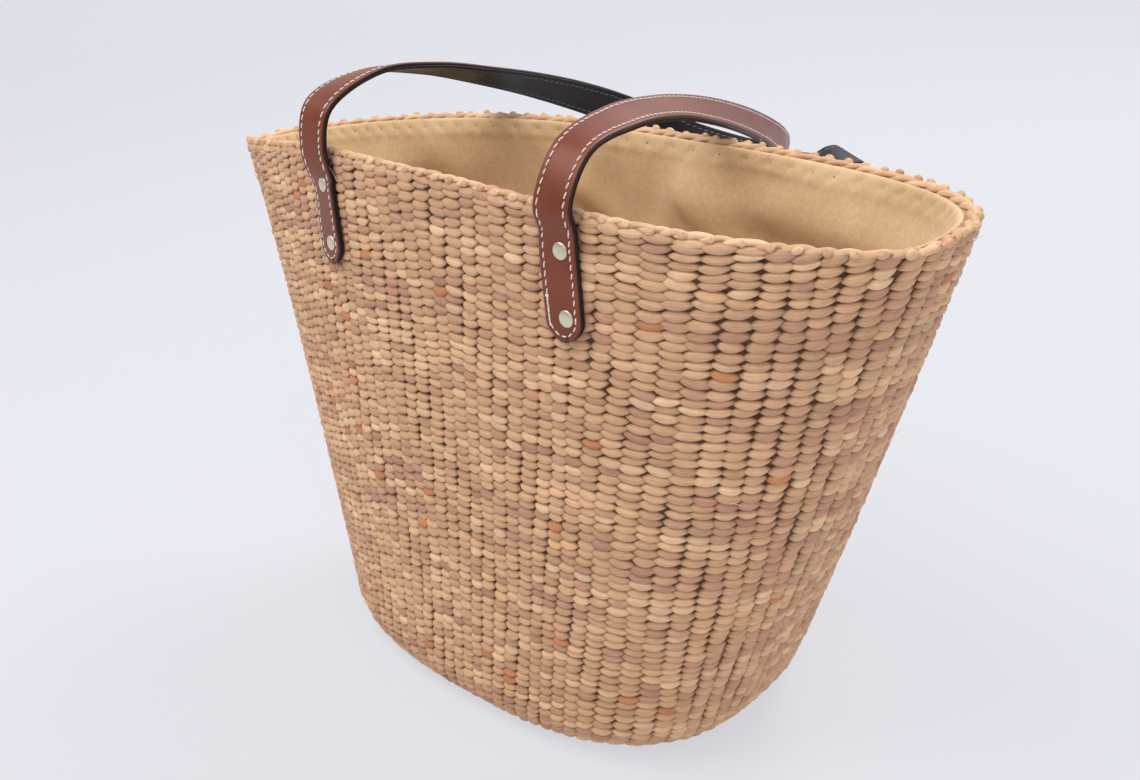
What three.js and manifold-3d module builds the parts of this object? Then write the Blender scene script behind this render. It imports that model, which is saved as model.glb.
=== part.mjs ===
import * as THREE from 'three';
import { mergeVertices } from 'three/addons/utils/BufferGeometryUtils.js';
import Module from 'manifold-3d';

// A woven straw tote bag with a sewn cotton lining and two riveted leather strap handles.
// Lengths are in millimetres and +Z is up. +X runs along the bag's width, and the front faces -Y.
// The origin is the middle of the base mat, on the surface that the bag stands on.

// Woven body. Mouth depths are measured from the long axis to the front and to the back rim.
const bagHeight = 300;
const mouthHalfWidth = 243;
const mouthFrontDepth = 69;
const mouthBackDepth = 80;
const mouthBow = 5.2;
const mouthShift = -4;
const leftEndDrop = 28;
const rightEndDrop = 8.5;
const backDip = 11;
const frontDip = 4.3;
const baseHalfWidth = 134;
const baseHalfDepth = 96;
const bottomRadius = 25;
const wallThickness = 5;
const matThickness = 5;

// Plaited border on top of the wall.
const braidWidth = 9.2;
const braidHeight = 6.8;
const braidOverhang = 2.1;

// Cotton lining.
const liningThickness = 0.8;
const hemThickness = 1.6;
const hemHeight = 10;
const liningStandOff = 4.7;

// Strap handles: a leather face and a dark backing, glued and sewn together.
const strapWidth = 20.4;
const tabWidth = 22.5;
const facePly = 1.8;
const backingPly = 1.2;
const backingInset = 0.5;
const edgeChamfer = 0.5;
const tabTipLength = 9;
const tabEnd = 15;
const frontSpacing = 179;
const frontCentre = -4.3;
const backSpacing = 228;
const frontReach = 213;
const frontRise = 30;
const frontLean = -9;
const frontCant = 2.8;
const backHang = 262;
const backStandOff = 26;
const backHump = 4.5;

// Rivets and the patches that back them inside the wall.
const rivetCapRadius = 4.4;
const rivetCapHeight = 1.9;
const rivetPostRadius = 1.5;
const rivetPitch = 31;
const rivetBelowRim = 17.5;
const socketHeight = 1.5;
const socketDepth = 1;
const patchWidth = 21;
const patchHeight = 47;
const patchThickness = 1.2;

// Clearances: between touching pieces, round a post, between the glued plies, under a tab and a
// patch, between a tab and the swinging loop, and where a strap passes the border.
const seatGap = 0.3;
const postClearance = 0.3;
const glueGap = 0.3;
const tabSeat = 0.8;
const patchSeat = 0.5;
const flexGap = 0.5;
const rimPassGap = 0.5;
const boreOverrun = 6;

// Shape exponents of the plan outlines and of the flare from base to mouth.
const basePower = 2.64;
const rightPower = 2.84;
const leftFrontPower = 1.42;
const leftBackPower = 1.96;
const widthFlarePower = 0.92;
const depthFlarePower = 0.64;
const sideSharpness = 4;
const dipMiddleShare = 0.44;
const dipSpreadShare = 0.35;

const turnSteps = 80;
const planeSteps = 240;
const lobeCount = 104;
const roundSides = 12;
const frontTabLean = THREE.MathUtils.degToRad(-8.5);
const backTabLean = 0;

const wallLevelShares = [0.15, 0.26, 0.4, 0.56, 0.72, 0.87];
const roundSteps = 3;
const tipWidthShares = [[0, 0.22], [0.14, 0.47], [0.46, 0.78], [0.78, 0.95], [1, 1]];

// Half of each handle's route, from the flex line above the rim to the apex. A row holds the half
// spacing, the reach, the rise over the bag's height and the twist as a part of a quarter turn.
const frontRouteShares = [
  [1, -0.24, 0.7, 0, 0.35, 0],
  [0.965, -0.052, 0.9, 0.14, 0.8, 0.7],
  [0.925, 0.131, 0.69, 0.27, 1, 0.4],
  [0.88, 0.3, 0.33, 0.38, 1, 0],
  [0.825, 0.47, -0.1, 0.5, 1, 0],
  [0.752, 0.643, -0.63, 0.65, 1.1, 0],
  [0.625, 0.812, -1.27, 0.83, 1.2, 0],
  [0.38, 0.944, -1.87, 0.97, 1.1, 0],
  [0, 1, -2.1, 1, 0.85, 0],
];
const backRouteShares = [
  [1, 0.33, 0.6, 0],
  [1, 0.58, 1.05, 0],
  [1, 0.8, -0.5, 0],
  [1, 0.9, -7, 0.04],
  [0.995, 0.94, -17, 0.25],
  [0.975, 1, -28, 0.55],
  [0.9, 1.06, -39, 0.82],
  [0.72, 1.1, -48, 0.95],
  [0.42, 1.13, -54.5, 1],
  [0, 1.14, -57, 1],
];

const materials = {
  straw: new THREE.MeshStandardMaterial({ color: 0xc49b72, roughness: 0.75, metalness: 0 }),
  lining: new THREE.MeshStandardMaterial({ color: 0xc6a26c, roughness: 0.9, metalness: 0 }),
  leather: new THREE.MeshStandardMaterial({ color: 0x7d4232, roughness: 0.5, metalness: 0 }),
  backing: new THREE.MeshStandardMaterial({ color: 0x1c1b21, roughness: 0.55, metalness: 0 }),
  patch: new THREE.MeshStandardMaterial({ color: 0x6b5136, roughness: 0.85, metalness: 0 }),
  metal: new THREE.MeshStandardMaterial({ color: 0xcfc6a8, roughness: 0.3, metalness: 1 }),
};

const wasm = await Module();
wasm.setup();

const group = new THREE.Group();

function addPiece(name, geometry, material) {
  const mesh = new THREE.Mesh(geometry, material);
  mesh.name = name;
  group.add(mesh);
  return mesh;
}

// A closed mesh with shared corners and its faces pointing out.
function closedGeometry(positions, triangles) {
  const flat = positions.flatMap((p) => [p.x, p.y, p.z]);
  let volume = 0;
  for (const [a, b, c] of triangles) {
    volume += positions[a].dot(new THREE.Vector3().crossVectors(positions[b], positions[c]));
  }
  const outward = volume > 0 ? triangles : triangles.map(([a, b, c]) => [a, c, b]);
  const geometry = new THREE.BufferGeometry();
  geometry.setAttribute('position', new THREE.Float32BufferAttribute(flat, 3));
  geometry.setIndex(outward.flat());
  return geometry;
}

// Joins rings of equally many points into one body. An open row of rings is capped at both ends,
// and section holds the flat outline that its caps are cut from.
function loft(rings, section) {
  const count = rings[0].length;
  const closed = section === undefined;
  const spans = closed ? rings.length : rings.length - 1;
  const triangles = [];
  for (let i = 0; i < spans; i += 1) {
    const here = i * count;
    const next = ((i + 1) % rings.length) * count;
    for (let k = 0; k < count; k += 1) {
      const l = (k + 1) % count;
      triangles.push([here + k, here + l, next + l], [here + k, next + l, next + k]);
    }
  }
  if (!closed) {
    const last = (rings.length - 1) * count;
    for (const [a, b, c] of THREE.ShapeUtils.triangulateShape(section, [])) {
      triangles.push([a, c, b], [last + a, last + b, last + c]);
    }
    const area = THREE.ShapeUtils.area(section);
    if (area < 0) {
      const caps = triangles.slice(spans * count * 2);
      triangles.splice(spans * count * 2, caps.length, ...caps.map(([a, b, c]) => [a, c, b]));
    }
  }
  return closedGeometry(rings.flat(), triangles);
}

function toSolid(geometry) {
  const bare = geometry.clone();
  bare.deleteAttribute('normal');
  bare.deleteAttribute('uv');
  const merged = mergeVertices(bare);
  return new wasm.Manifold(new wasm.Mesh({
    numProp: 3,
    vertProperties: new Float32Array(merged.attributes.position.array),
    triVerts: new Uint32Array(merged.index.array),
  }));
}

function cutAway(geometry, tools) {
  const cut = tools.reduce((solid, tool) => solid.subtract(toSolid(tool)), toSolid(geometry));
  const mesh = cut.getMesh();
  const result = new THREE.BufferGeometry();
  result.setAttribute('position', new THREE.BufferAttribute(mesh.vertProperties, 3));
  result.setIndex(new THREE.BufferAttribute(mesh.triVerts, 1));
  return result;
}

// Plan outline of the woven wall at a level from 0 (base) to 1 (rim): a superellipse that narrows
// in depth and widens towards the mouth, pointed at the left end and round at the right. It is
// kept as tangent lines, so that an inset outline never folds over itself at the pointed end.
const outlineCache = new Map();

function outlineAt(level) {
  if (outlineCache.has(level)) {
    return outlineCache.get(level);
  }
  const halfWidth = baseHalfWidth
    + (mouthHalfWidth - baseHalfWidth) * level ** widthFlarePower;
  const centre = mouthShift * level;
  const points = [];
  for (let i = 0; i < planeSteps; i += 1) {
    const turn = (2 * Math.PI * i) / planeSteps;
    const c = Math.cos(turn);
    const s = Math.sin(turn);
    const back = 0.5 + 0.5 * Math.tanh(sideSharpness * s);
    const left = 0.5 - 0.5 * Math.tanh(sideSharpness * c);
    const mouthDepth = mouthFrontDepth + (mouthBackDepth - mouthFrontDepth) * back;
    const halfDepth = baseHalfDepth + (mouthDepth - baseHalfDepth) * level ** depthFlarePower;
    const leftPower = leftFrontPower + (leftBackPower - leftFrontPower) * back;
    const mouthPower = rightPower + (leftPower - rightPower) * left;
    const power = basePower + (mouthPower - basePower) * level;
    const u = Math.sign(c) * Math.abs(c) ** (2 / power);
    const y = halfDepth * Math.sign(s) * Math.abs(s) ** (2 / power);
    points.push(new THREE.Vector2(centre + halfWidth * u, y + mouthBow * level * (1 - u * u)));
  }
  const lines = points.map((point, i) => {
    const before = points[(i + planeSteps - 1) % planeSteps];
    const after = points[(i + 1) % planeSteps];
    const normal = new THREE.Vector2(after.y - before.y, before.x - after.x).normalize();
    return { normal, distance: normal.dot(point) };
  });
  const depth = baseHalfDepth
    + ((mouthFrontDepth + mouthBackDepth) / 2 - baseHalfDepth) * level ** depthFlarePower;
  const outline = { lines, centre, halfWidth, depth };
  outlineCache.set(level, outline);
  return outline;
}

// A point of the wall: turn goes round the bag, level up it, and inset is the depth below its
// outer surface. The rim falls to both ends and dips a little at the back and front.
function wallPoint(turn, level, inset) {
  const { lines, centre, halfWidth, depth } = outlineAt(level);
  const angle = Math.atan2(depth * Math.sin(turn), halfWidth * Math.cos(turn));
  const ray = new THREE.Vector2(Math.cos(angle), Math.sin(angle));
  let reach = Infinity;
  for (const { normal, distance } of lines) {
    const facing = normal.dot(ray);
    if (facing > Number.EPSILON) {
      reach = Math.min(reach, (distance - inset - normal.x * centre) / facing);
    }
  }
  const x = centre + reach * ray.x;
  const y = reach * ray.y;
  const u = (reach * ray.x) / halfWidth;
  const back = 0.5 + 0.5 * Math.tanh((sideSharpness * y) / depth);
  const dip = Math.exp(-(((u - dipMiddleShare) / dipSpreadShare) ** 2));
  const rim = bagHeight
    - leftEndDrop * Math.min(u, 0) ** 2
    - rightEndDrop * Math.max(u, 0) ** 2
    - backDip * back * (1 - u * u)
    - frontDip * (1 - back) * dip;
  return new THREE.Vector3(x, y, level * rim);
}

// The point of the wall's outer surface at a given x, on the front (side -1) or the back (side 1).
function wallAtX(x, level, side) {
  let low = 0;
  let high = Math.PI;
  for (let i = 0; i < 40; i += 1) {
    const middle = (low + high) / 2;
    if (wallPoint(side * middle, level, 0).x > x) {
      low = middle;
    } else {
      high = middle;
    }
  }
  return wallPoint(side * low, level, 0);
}

function wallAtXZ(x, z, side) {
  let level = z / bagHeight;
  for (let i = 0; i < 6; i += 1) {
    level *= z / wallAtX(x, level, side).z;
  }
  return wallAtX(x, level, side);
}

// Woven base mat, wall and plaited border.
function bottomRound(innerRadius, inset, floor) {
  const steps = [];
  for (let i = 0; i <= roundSteps; i += 1) {
    const angle = (Math.PI / 2) * (i / roundSteps);
    steps.push({
      inset: inset + innerRadius * (1 - Math.sin(angle)),
      level: (bottomRadius - (bottomRadius - floor) * Math.cos(angle)) / bagHeight,
    });
  }
  return steps;
}

function ringOf(section, turn) {
  return section.map(({ level, inset }) => wallPoint(turn, level, inset));
}

const wallTopLevel = 1 - (braidHeight + seatGap) / bagHeight;

function wovenWall() {
  const levels = [...wallLevelShares, wallTopLevel];
  const outer = [...bottomRound(bottomRadius, 0, 0), ...levels.map((level) => ({ level, inset: 0 }))];
  const innerRound = bottomRound(bottomRadius - wallThickness, wallThickness, matThickness);
  const inner = [...innerRound, ...levels.map((level) => ({ level, inset: wallThickness }))];
  const section = [...outer, ...inner.reverse()];
  const rings = [];
  for (let i = 0; i < turnSteps; i += 1) {
    rings.push(ringOf(section, (2 * Math.PI * i) / turnSteps));
  }
  return loft(rings);
}

function slab(bottomZ, topZ, inset) {
  const rings = [bottomZ, topZ].map((z) => {
    const ring = [];
    for (let i = 0; i < turnSteps; i += 1) {
      const point = wallPoint((2 * Math.PI * i) / turnSteps, z / bagHeight, inset);
      ring.push(point.setZ(z));
    }
    return ring;
  });
  const outline = rings[0].map((point) => new THREE.Vector2(point.x, point.y));
  return loft(rings, outline);
}

function plaitedBorder() {
  const fine = 8 * lobeCount;
  const middleInset = braidWidth / 2 - braidOverhang;
  const lengths = [0];
  let before = wallPoint(0, 1, middleInset);
  for (let i = 1; i <= fine; i += 1) {
    const point = wallPoint((2 * Math.PI * i) / fine, 1, middleInset);
    lengths.push(lengths[i - 1] + point.distanceTo(before));
    before = point;
  }
  const rings = [];
  const ringCount = 2 * lobeCount;
  let index = 0;
  for (let i = 0; i < ringCount; i += 1) {
    const target = (lengths[fine] * i) / ringCount;
    while (lengths[index + 1] < target) {
      index += 1;
    }
    const share = (target - lengths[index]) / (lengths[index + 1] - lengths[index]);
    const turn = (2 * Math.PI * (index + share)) / fine;
    const crest = i % 2 === 0;
    const corners = 5;
    const ring = [];
    for (let k = 0; k < corners; k += 1) {
      const angle = (2 * Math.PI * (k + 0.25)) / corners;
      const across = (braidWidth / 2) * Math.cos(angle) * (crest ? 1 : 0.82);
      const lift = (braidHeight / 2) * Math.sin(angle);
      const point = wallPoint(turn, 1, middleInset - across);
      point.z += lift * (crest || lift < 0 ? 1 : 0.7) - braidHeight / 2;
      ring.push(point);
    }
    rings.push(ring);
  }
  return loft(rings);
}

// Lining panels, from seam to seam, that hang from a doubled hem under the border.
function liningPanel(side) {
  const standInset = wallThickness + liningStandOff;
  const floor = matThickness + seatGap;
  const top = 1 - (braidHeight + 2 * seatGap) / bagHeight;
  const outer = [
    ...bottomRound(bottomRadius - standInset, standInset, floor),
    ...[0.2, 0.4, 0.6, 0.8].map((level) => ({ level, inset: standInset })),
    { level: top - hemHeight / bagHeight, inset: standInset },
    { level: top - liningStandOff / bagHeight, inset: standInset },
    { level: top, inset: wallThickness + 2 * seatGap },
  ];
  const inner = outer.map(({ level, inset }) => {
    const doubled = level > top - hemHeight / bagHeight;
    const flat = inset >= bottomRadius;
    const thickness = doubled ? hemThickness : liningThickness;
    return {
      level: level + (flat ? liningThickness / bagHeight : 0),
      inset: inset + (flat ? 0 : thickness),
    };
  });
  const section = [...outer, ...inner.reverse()];
  const steps = turnSteps / 2 - 4;
  const seam = seatGap / 2 / mouthFrontDepth;
  const rings = [];
  for (let i = 0; i <= steps; i += 1) {
    const turn = side * (seam + (Math.PI - 2 * seam) * (i / steps));
    rings.push(ringOf(section, turn));
  }
  const outline = section.map(({ level, inset }) => new THREE.Vector2(-inset, level * bagHeight));
  return loft(rings, outline);
}

// Where a tab is riveted: two rivets on the wall, and the directions up the tab, across it and out
// of the wall. The handle's route runs from the left tab to the right one.
function tabFrame(handle, end) {
  const { side, centre, spacing, lean } = handle;
  const x = centre + (end * spacing) / 2;
  const upper = wallAtXZ(x, wallAtX(x, 1, side).z - rivetBelowRim, side);
  const lowerX = x - rivetPitch * Math.sin(lean);
  const lower = wallAtXZ(lowerX, upper.z - rivetPitch * Math.cos(lean), side);
  const up = upper.clone().sub(lower).normalize();
  const level = upper.z / bagHeight;
  const across = wallAtX(x + tabWidth / 2, level, side).sub(wallAtX(x - tabWidth / 2, level, side));
  const out = new THREE.Vector3().crossVectors(across, up).multiplyScalar(-side).normalize();
  const width = new THREE.Vector3().crossVectors(up, out).normalize();
  return { upper, lower, up, out, width };
}

const midPlane = tabSeat + backingPly + glueGap / 2;

// Stations along a handle's route: the strap's middle and the direction of its width.
function routeStations(handle) {
  const half = [];
  const rows = handle.rows;
  rows.forEach((row, i) => {
    const before = rows[Math.max(i - 1, 0)];
    const after = rows[Math.min(i + 1, rows.length - 1)];
    const fore = i === 0 ? handle.start : before;
    const slope = new THREE.Vector2(after.y - fore.y, after.z - fore.z).normalize();
    const rise = new THREE.Vector3(0, -slope.y, slope.x);
    const path = new THREE.Vector3(fore.x - after.x, after.y - fore.y, after.z - fore.z).normalize();
    const flat = new THREE.Vector3().crossVectors(path, rise).normalize();
    const angle = (Math.PI / 2) * row.twist;
    const width = flat.multiplyScalar(-handle.side * Math.cos(angle))
      .addScaledVector(rise, Math.sin(angle));
    half.push({ row, width });
  });
  const stations = [];
  for (const end of [-1, 1]) {
    const frame = tabFrame(handle, end);
    const pass = Math.max(braidOverhang + rimPassGap - tabSeat, 0);
    const tabStations = [
      [-rivetPitch - tabEnd, 0],
      [-rivetPitch, 0],
      [0, 0],
      [2 * rivetCapRadius, 0],
      [handle.straight, pass],
    ].map(([distance, lift]) => ({
      point: frame.upper.clone()
        .addScaledVector(frame.up, distance)
        .addScaledVector(frame.out, midPlane + lift),
      width: frame.width.clone(),
    }));
    const free = half.map(({ row, width }) => ({
      point: new THREE.Vector3(
        handle.centre + end * row.x + row.lean,
        row.y,
        row.z - end * row.cant,
      ),
      width: new THREE.Vector3(-end * width.x, width.y, width.z),
    }));
    if (end < 0) {
      stations.push(...tabStations, ...free);
    } else {
      tabStations.forEach((station) => station.width.multiplyScalar(-1));
      stations.push(...[...tabStations, ...free.slice(0, -1)].reverse());
    }
  }
  return stations;
}

// The strap along its route: position, heading, width direction and face direction at a distance.
function strapRoute(handle) {
  const stations = routeStations(handle);
  const perStation = 60;
  const curve = new THREE.CatmullRomCurve3(stations.map((s) => s.point), false, 'centripetal');
  const widths = new THREE.CatmullRomCurve3(stations.map((s) => s.width), false, 'centripetal');
  curve.arcLengthDivisions = (stations.length - 1) * perStation;
  const lengths = curve.getLengths();
  const stationLength = (index) => lengths[index * perStation];
  const total = lengths[lengths.length - 1];
  const at = (distance) => {
    const t = curve.getUtoTmapping(distance / total);
    const heading = curve.getTangent(t);
    const width = widths.getPoint(t);
    width.addScaledVector(heading, -width.dot(heading)).normalize();
    const face = new THREE.Vector3().crossVectors(width, heading);
    return { point: curve.getPoint(t), width, face };
  };
  return { at, stationLength, total };
}

function halfWidthAt(distance, flexLength) {
  const tip = tipWidthShares.findIndex(([share]) => share * tabTipLength >= distance);
  if (tip > 0) {
    const [shareA, widthA] = tipWidthShares[tip - 1];
    const [shareB, widthB] = tipWidthShares[tip];
    const mix = (distance / tabTipLength - shareA) / (shareB - shareA);
    return (tabWidth / 2) * (widthA + (widthB - widthA) * mix);
  }
  if (tip === 0) {
    return (tabWidth / 2) * tipWidthShares[0][1];
  }
  const narrowing = THREE.MathUtils.smoothstep(distance, tabEnd + rivetPitch, flexLength);
  return tabWidth / 2 + ((strapWidth - tabWidth) / 2) * narrowing;
}

const plySections = {
  face: (half) => [
    [-half, glueGap / 2],
    [half, glueGap / 2],
    [half, glueGap / 2 + facePly - edgeChamfer],
    [half - edgeChamfer, glueGap / 2 + facePly],
    [edgeChamfer - half, glueGap / 2 + facePly],
    [-half, glueGap / 2 + facePly - edgeChamfer],
  ],
  backing: (half) => [
    [backingInset - half, -glueGap / 2],
    [half - backingInset, -glueGap / 2],
    [half - backingInset, -glueGap / 2 - backingPly],
    [backingInset - half, -glueGap / 2 - backingPly],
  ],
};

function ply(route, flexLength, section, distances) {
  const rings = distances.map((distance) => {
    const { point, width, face } = route.at(distance);
    const fromEnd = Math.min(distance, route.total - distance);
    return section(halfWidthAt(fromEnd, flexLength)).map(([w, n]) => (
      point.clone().addScaledVector(width, w).addScaledVector(face, n)
    ));
  });
  const outline = section(strapWidth / 2).map(([w, n]) => new THREE.Vector2(w, n));
  return loft(rings, outline);
}

function placedAlong(geometry, origin, direction) {
  const turn = new THREE.Quaternion().setFromUnitVectors(new THREE.Vector3(0, 1, 0), direction);
  const placed = geometry.clone();
  placed.applyQuaternion(turn);
  placed.translate(origin.x, origin.y, origin.z);
  return placed;
}

const stackDepth = wallThickness + patchSeat + patchThickness;
const stackHeight = midPlane + glueGap / 2 + facePly;

function postBore(frame, rivet) {
  const length = stackDepth + stackHeight + 2 * boreOverrun;
  const radius = rivetPostRadius + postClearance;
  const cylinder = new THREE.CylinderGeometry(radius, radius, length, roundSides);
  const middle = (stackHeight - stackDepth) / 2;
  return placedAlong(cylinder, rivet.clone().addScaledVector(frame.out, middle), frame.out);
}

// A rivet's domed head and its post, and the socket that the post is pressed into.
const socketFloor = stackDepth + seatGap + socketDepth - seatGap;

const rivetProfile = [
  [0, -socketFloor],
  [rivetPostRadius, -socketFloor],
  [rivetPostRadius, stackHeight + seatGap],
  [rivetCapRadius, stackHeight + seatGap],
  [rivetCapRadius, stackHeight + seatGap + rivetCapHeight * 0.3],
  [rivetCapRadius * 0.8, stackHeight + seatGap + rivetCapHeight * 0.75],
  [rivetCapRadius * 0.45, stackHeight + seatGap + rivetCapHeight * 0.95],
  [0, stackHeight + seatGap + rivetCapHeight],
];
const socketProfile = [
  [0, -stackDepth - seatGap - socketHeight],
  [rivetCapRadius * 0.6, -stackDepth - seatGap - socketHeight],
  [rivetCapRadius, -stackDepth - seatGap - socketHeight * 0.4],
  [rivetCapRadius, -stackDepth - seatGap],
  [rivetPostRadius + postClearance, -stackDepth - seatGap],
  [rivetPostRadius + postClearance, -stackDepth - seatGap - socketDepth],
  [0, -stackDepth - seatGap - socketDepth],
];

function lathed(profile, frame, rivet) {
  const points = profile.map(([radius, height]) => new THREE.Vector2(radius, height));
  const lathe = new THREE.LatheGeometry(points, roundSides);
  lathe.deleteAttribute('normal');
  lathe.deleteAttribute('uv');
  return placedAlong(mergeVertices(lathe), rivet, frame.out);
}

// A reinforcing patch inside the wall, under a tab's two rivets.
function backingPatch(frame, bores) {
  const corner = patchWidth / 5;
  const outline = new THREE.Shape();
  const halfW = patchWidth / 2;
  const halfH = patchHeight / 2;
  outline.moveTo(corner - halfW, -halfH);
  outline.lineTo(halfW - corner, -halfH);
  outline.quadraticCurveTo(halfW, -halfH, halfW, corner - halfH);
  outline.lineTo(halfW, halfH - corner);
  outline.quadraticCurveTo(halfW, halfH, halfW - corner, halfH);
  outline.lineTo(corner - halfW, halfH);
  outline.quadraticCurveTo(-halfW, halfH, -halfW, halfH - corner);
  outline.lineTo(-halfW, corner - halfH);
  outline.quadraticCurveTo(-halfW, -halfH, corner - halfW, -halfH);
  const plate = new THREE.ExtrudeGeometry(outline, {
    depth: patchThickness,
    bevelEnabled: false,
    curveSegments: 3,
  });
  const middle = frame.upper.clone().add(frame.lower).multiplyScalar(0.5);
  const origin = middle.addScaledVector(frame.out, -wallThickness - patchSeat - patchThickness);
  const basis = new THREE.Matrix4().makeBasis(frame.width, frame.up, frame.out);
  if (basis.determinant() < 0) {
    basis.makeBasis(frame.width.clone().negate(), frame.up, frame.out);
  }
  plate.applyMatrix4(basis.setPosition(origin));
  return cutAway(plate, bores);
}

// The two handles. The front one lies back over the mouth and the far rim, and the back one hangs
// behind the bag.
const frontHandle = {
  name: 'front',
  side: -1,
  centre: frontCentre,
  spacing: frontSpacing,
  lean: frontTabLean,
  straight: rivetBelowRim + braidHeight / 2,
  start: { x: frontSpacing / 2, y: -mouthFrontDepth, z: bagHeight - frontDip },
  rows: frontRouteShares.map(([across, reach, rise, twist, lean, cant]) => ({
    x: (across * frontSpacing) / 2,
    y: reach * frontReach,
    z: bagHeight + rise * frontRise,
    twist,
    lean: lean * frontLean,
    cant: cant * frontCant,
  })),
};

const backX = backSpacing / 2;
const backRim = wallAtX(backX, 1, 1);
const backHandle = {
  name: 'back',
  side: 1,
  centre: 0,
  spacing: backSpacing,
  lean: backTabLean,
  straight: rivetBelowRim - braidHeight,
  start: { x: backX, y: backRim.y + midPlane, z: backRim.z - braidHeight },
  rows: backRouteShares.map(([across, reach, rise, twist]) => ({
    x: across * backX,
    y: backRim.y + reach * backStandOff,
    z: backRim.z + rise * (rise > 0 ? backHump : backHang / 57),
    twist,
    lean: 0,
    cant: 0,
  })),
};

const tabStationCount = 5;
const loopSteps = 72;
const tabSteps = 9;
const wallBores = [];

for (const handle of [frontHandle, backHandle]) {
  const route = strapRoute(handle);
  const flexLength = route.stationLength(tabStationCount);
  const tabEnds = tipWidthShares.map(([share]) => share * tabTipLength);
  for (let i = 1; i <= tabSteps; i += 1) {
    tabEnds.push(tabTipLength + (flexLength - flexGap / 2 - tabTipLength) * (i / tabSteps));
  }
  const loopLength = route.total - 2 * flexLength - flexGap;
  const loopDistances = [];
  for (let i = 0; i <= loopSteps; i += 1) {
    loopDistances.push(flexLength + flexGap / 2 + loopLength * (i / loopSteps));
  }
  for (const [plyName, material] of [['face', materials.leather], ['backing', materials.backing]]) {
    const section = plySections[plyName];
    addPiece(`${handle.name}_loop_${plyName}`, ply(route, flexLength, section, loopDistances), material);
    for (const [endName, end] of [['left', -1], ['right', 1]]) {
      const frame = tabFrame(handle, end);
      const bores = [frame.upper, frame.lower].map((rivet) => postBore(frame, rivet));
      const distances = end < 0 ? tabEnds : tabEnds.map((d) => route.total - d).reverse();
      const tab = cutAway(ply(route, flexLength, section, distances), bores);
      addPiece(`${handle.name}_${endName}_tab_${plyName}`, tab, material);
    }
  }
  for (const [endName, end] of [['left', -1], ['right', 1]]) {
    const frame = tabFrame(handle, end);
    const bores = [frame.upper, frame.lower].map((rivet) => postBore(frame, rivet));
    wallBores.push(...bores);
    addPiece(`${handle.name}_${endName}_patch`, backingPatch(frame, bores), materials.patch);
    for (const [place, rivet] of [['upper', frame.upper], ['lower', frame.lower]]) {
      const name = `${handle.name}_${endName}_${place}_rivet`;
      addPiece(`${name}_head`, lathed(rivetProfile, frame, rivet), materials.metal);
      addPiece(`${name}_socket`, lathed(socketProfile, frame, rivet), materials.metal);
    }
  }
}

addPiece('woven_wall', cutAway(wovenWall(), wallBores), materials.straw);
addPiece('woven_base', slab(0, matThickness, bottomRadius + seatGap), materials.straw);
addPiece('rim_braid', plaitedBorder(), materials.straw);
addPiece('lining_front', liningPanel(-1), materials.lining);
addPiece('lining_back', liningPanel(1), materials.lining);
const liningFloor = matThickness + seatGap;
const liningBottom = slab(liningFloor, liningFloor + liningThickness, bottomRadius + seatGap);
addPiece('lining_bottom', liningBottom, materials.lining);

export default group;
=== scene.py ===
# A woven straw tote bag with a plaited rim, a cotton lining and two riveted leather strap handles.
import math

import bpy
import numpy as np
from mathutils import Matrix, Vector


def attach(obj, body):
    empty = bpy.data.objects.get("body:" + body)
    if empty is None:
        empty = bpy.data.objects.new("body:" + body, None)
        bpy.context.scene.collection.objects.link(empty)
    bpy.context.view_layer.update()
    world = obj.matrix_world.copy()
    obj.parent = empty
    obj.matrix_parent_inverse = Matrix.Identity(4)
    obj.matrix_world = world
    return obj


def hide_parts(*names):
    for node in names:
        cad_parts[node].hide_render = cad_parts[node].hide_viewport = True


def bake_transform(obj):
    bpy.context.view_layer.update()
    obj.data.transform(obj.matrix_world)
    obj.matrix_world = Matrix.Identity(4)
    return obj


# Camera
# It stands to the right of the bag's front and looks down into the mouth. Its place, angles and
# lens were worked out for a picture of 1140 by 780.
camera_data = bpy.data.cameras.new("camera")
camera_data.sensor_width = 36
camera_data.lens = 36 * 1274.93 / 1140
camera_data.clip_end = 50
camera = bpy.data.objects.new("camera", camera_data)
bpy.context.scene.collection.objects.link(camera)
camera_right = Vector((0.73760933, 0.67119017, -0.07373076))
camera_up = Vector((-0.24304283, 0.36578421, 0.89840531))
camera_back = camera_right.cross(camera_up)
camera_turn = Matrix((camera_right, camera_up, camera_back)).transposed().to_4x4()
camera.matrix_world = Matrix.Translation((0.454483, -0.446790, 0.463958)) @ camera_turn
bpy.context.scene.camera = camera
bpy.context.scene.view_settings.view_transform = "Standard"

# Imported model
# The CAD nodes are loaded as a fixed frame. What shows is built over them in the same place.
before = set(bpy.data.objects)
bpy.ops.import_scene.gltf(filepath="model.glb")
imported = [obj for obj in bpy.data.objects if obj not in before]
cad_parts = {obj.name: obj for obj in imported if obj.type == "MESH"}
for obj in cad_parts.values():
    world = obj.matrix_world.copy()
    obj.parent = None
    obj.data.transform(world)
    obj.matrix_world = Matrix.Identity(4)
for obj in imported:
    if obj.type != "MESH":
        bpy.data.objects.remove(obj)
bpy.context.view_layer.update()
bpy.ops.object.select_all(action="DESELECT")

# Woven wall
# Flattened water-plant strands are woven over 100 upright stakes, packed so tightly that only
# almond-shaped pads of strand show. A core, coloured dark as painted shade in the small gaps
# between pads, stands for the stakes and strands behind them.
BAG_HEIGHT = 0.300
BOTTOM_RADIUS = 0.025
BASE_HALF_WIDTH = 0.134
MOUTH_HALF_WIDTH = 0.243
BASE_HALF_DEPTH = 0.096
MOUTH_FRONT_DEPTH = 0.069
MOUTH_BACK_DEPTH = 0.080
STAKES = 100
ROW_PITCH = 0.0046
line_cache = {}


def hill(value, middle, spread):
    return np.exp(-(((value - middle) / spread) ** 2))


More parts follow.
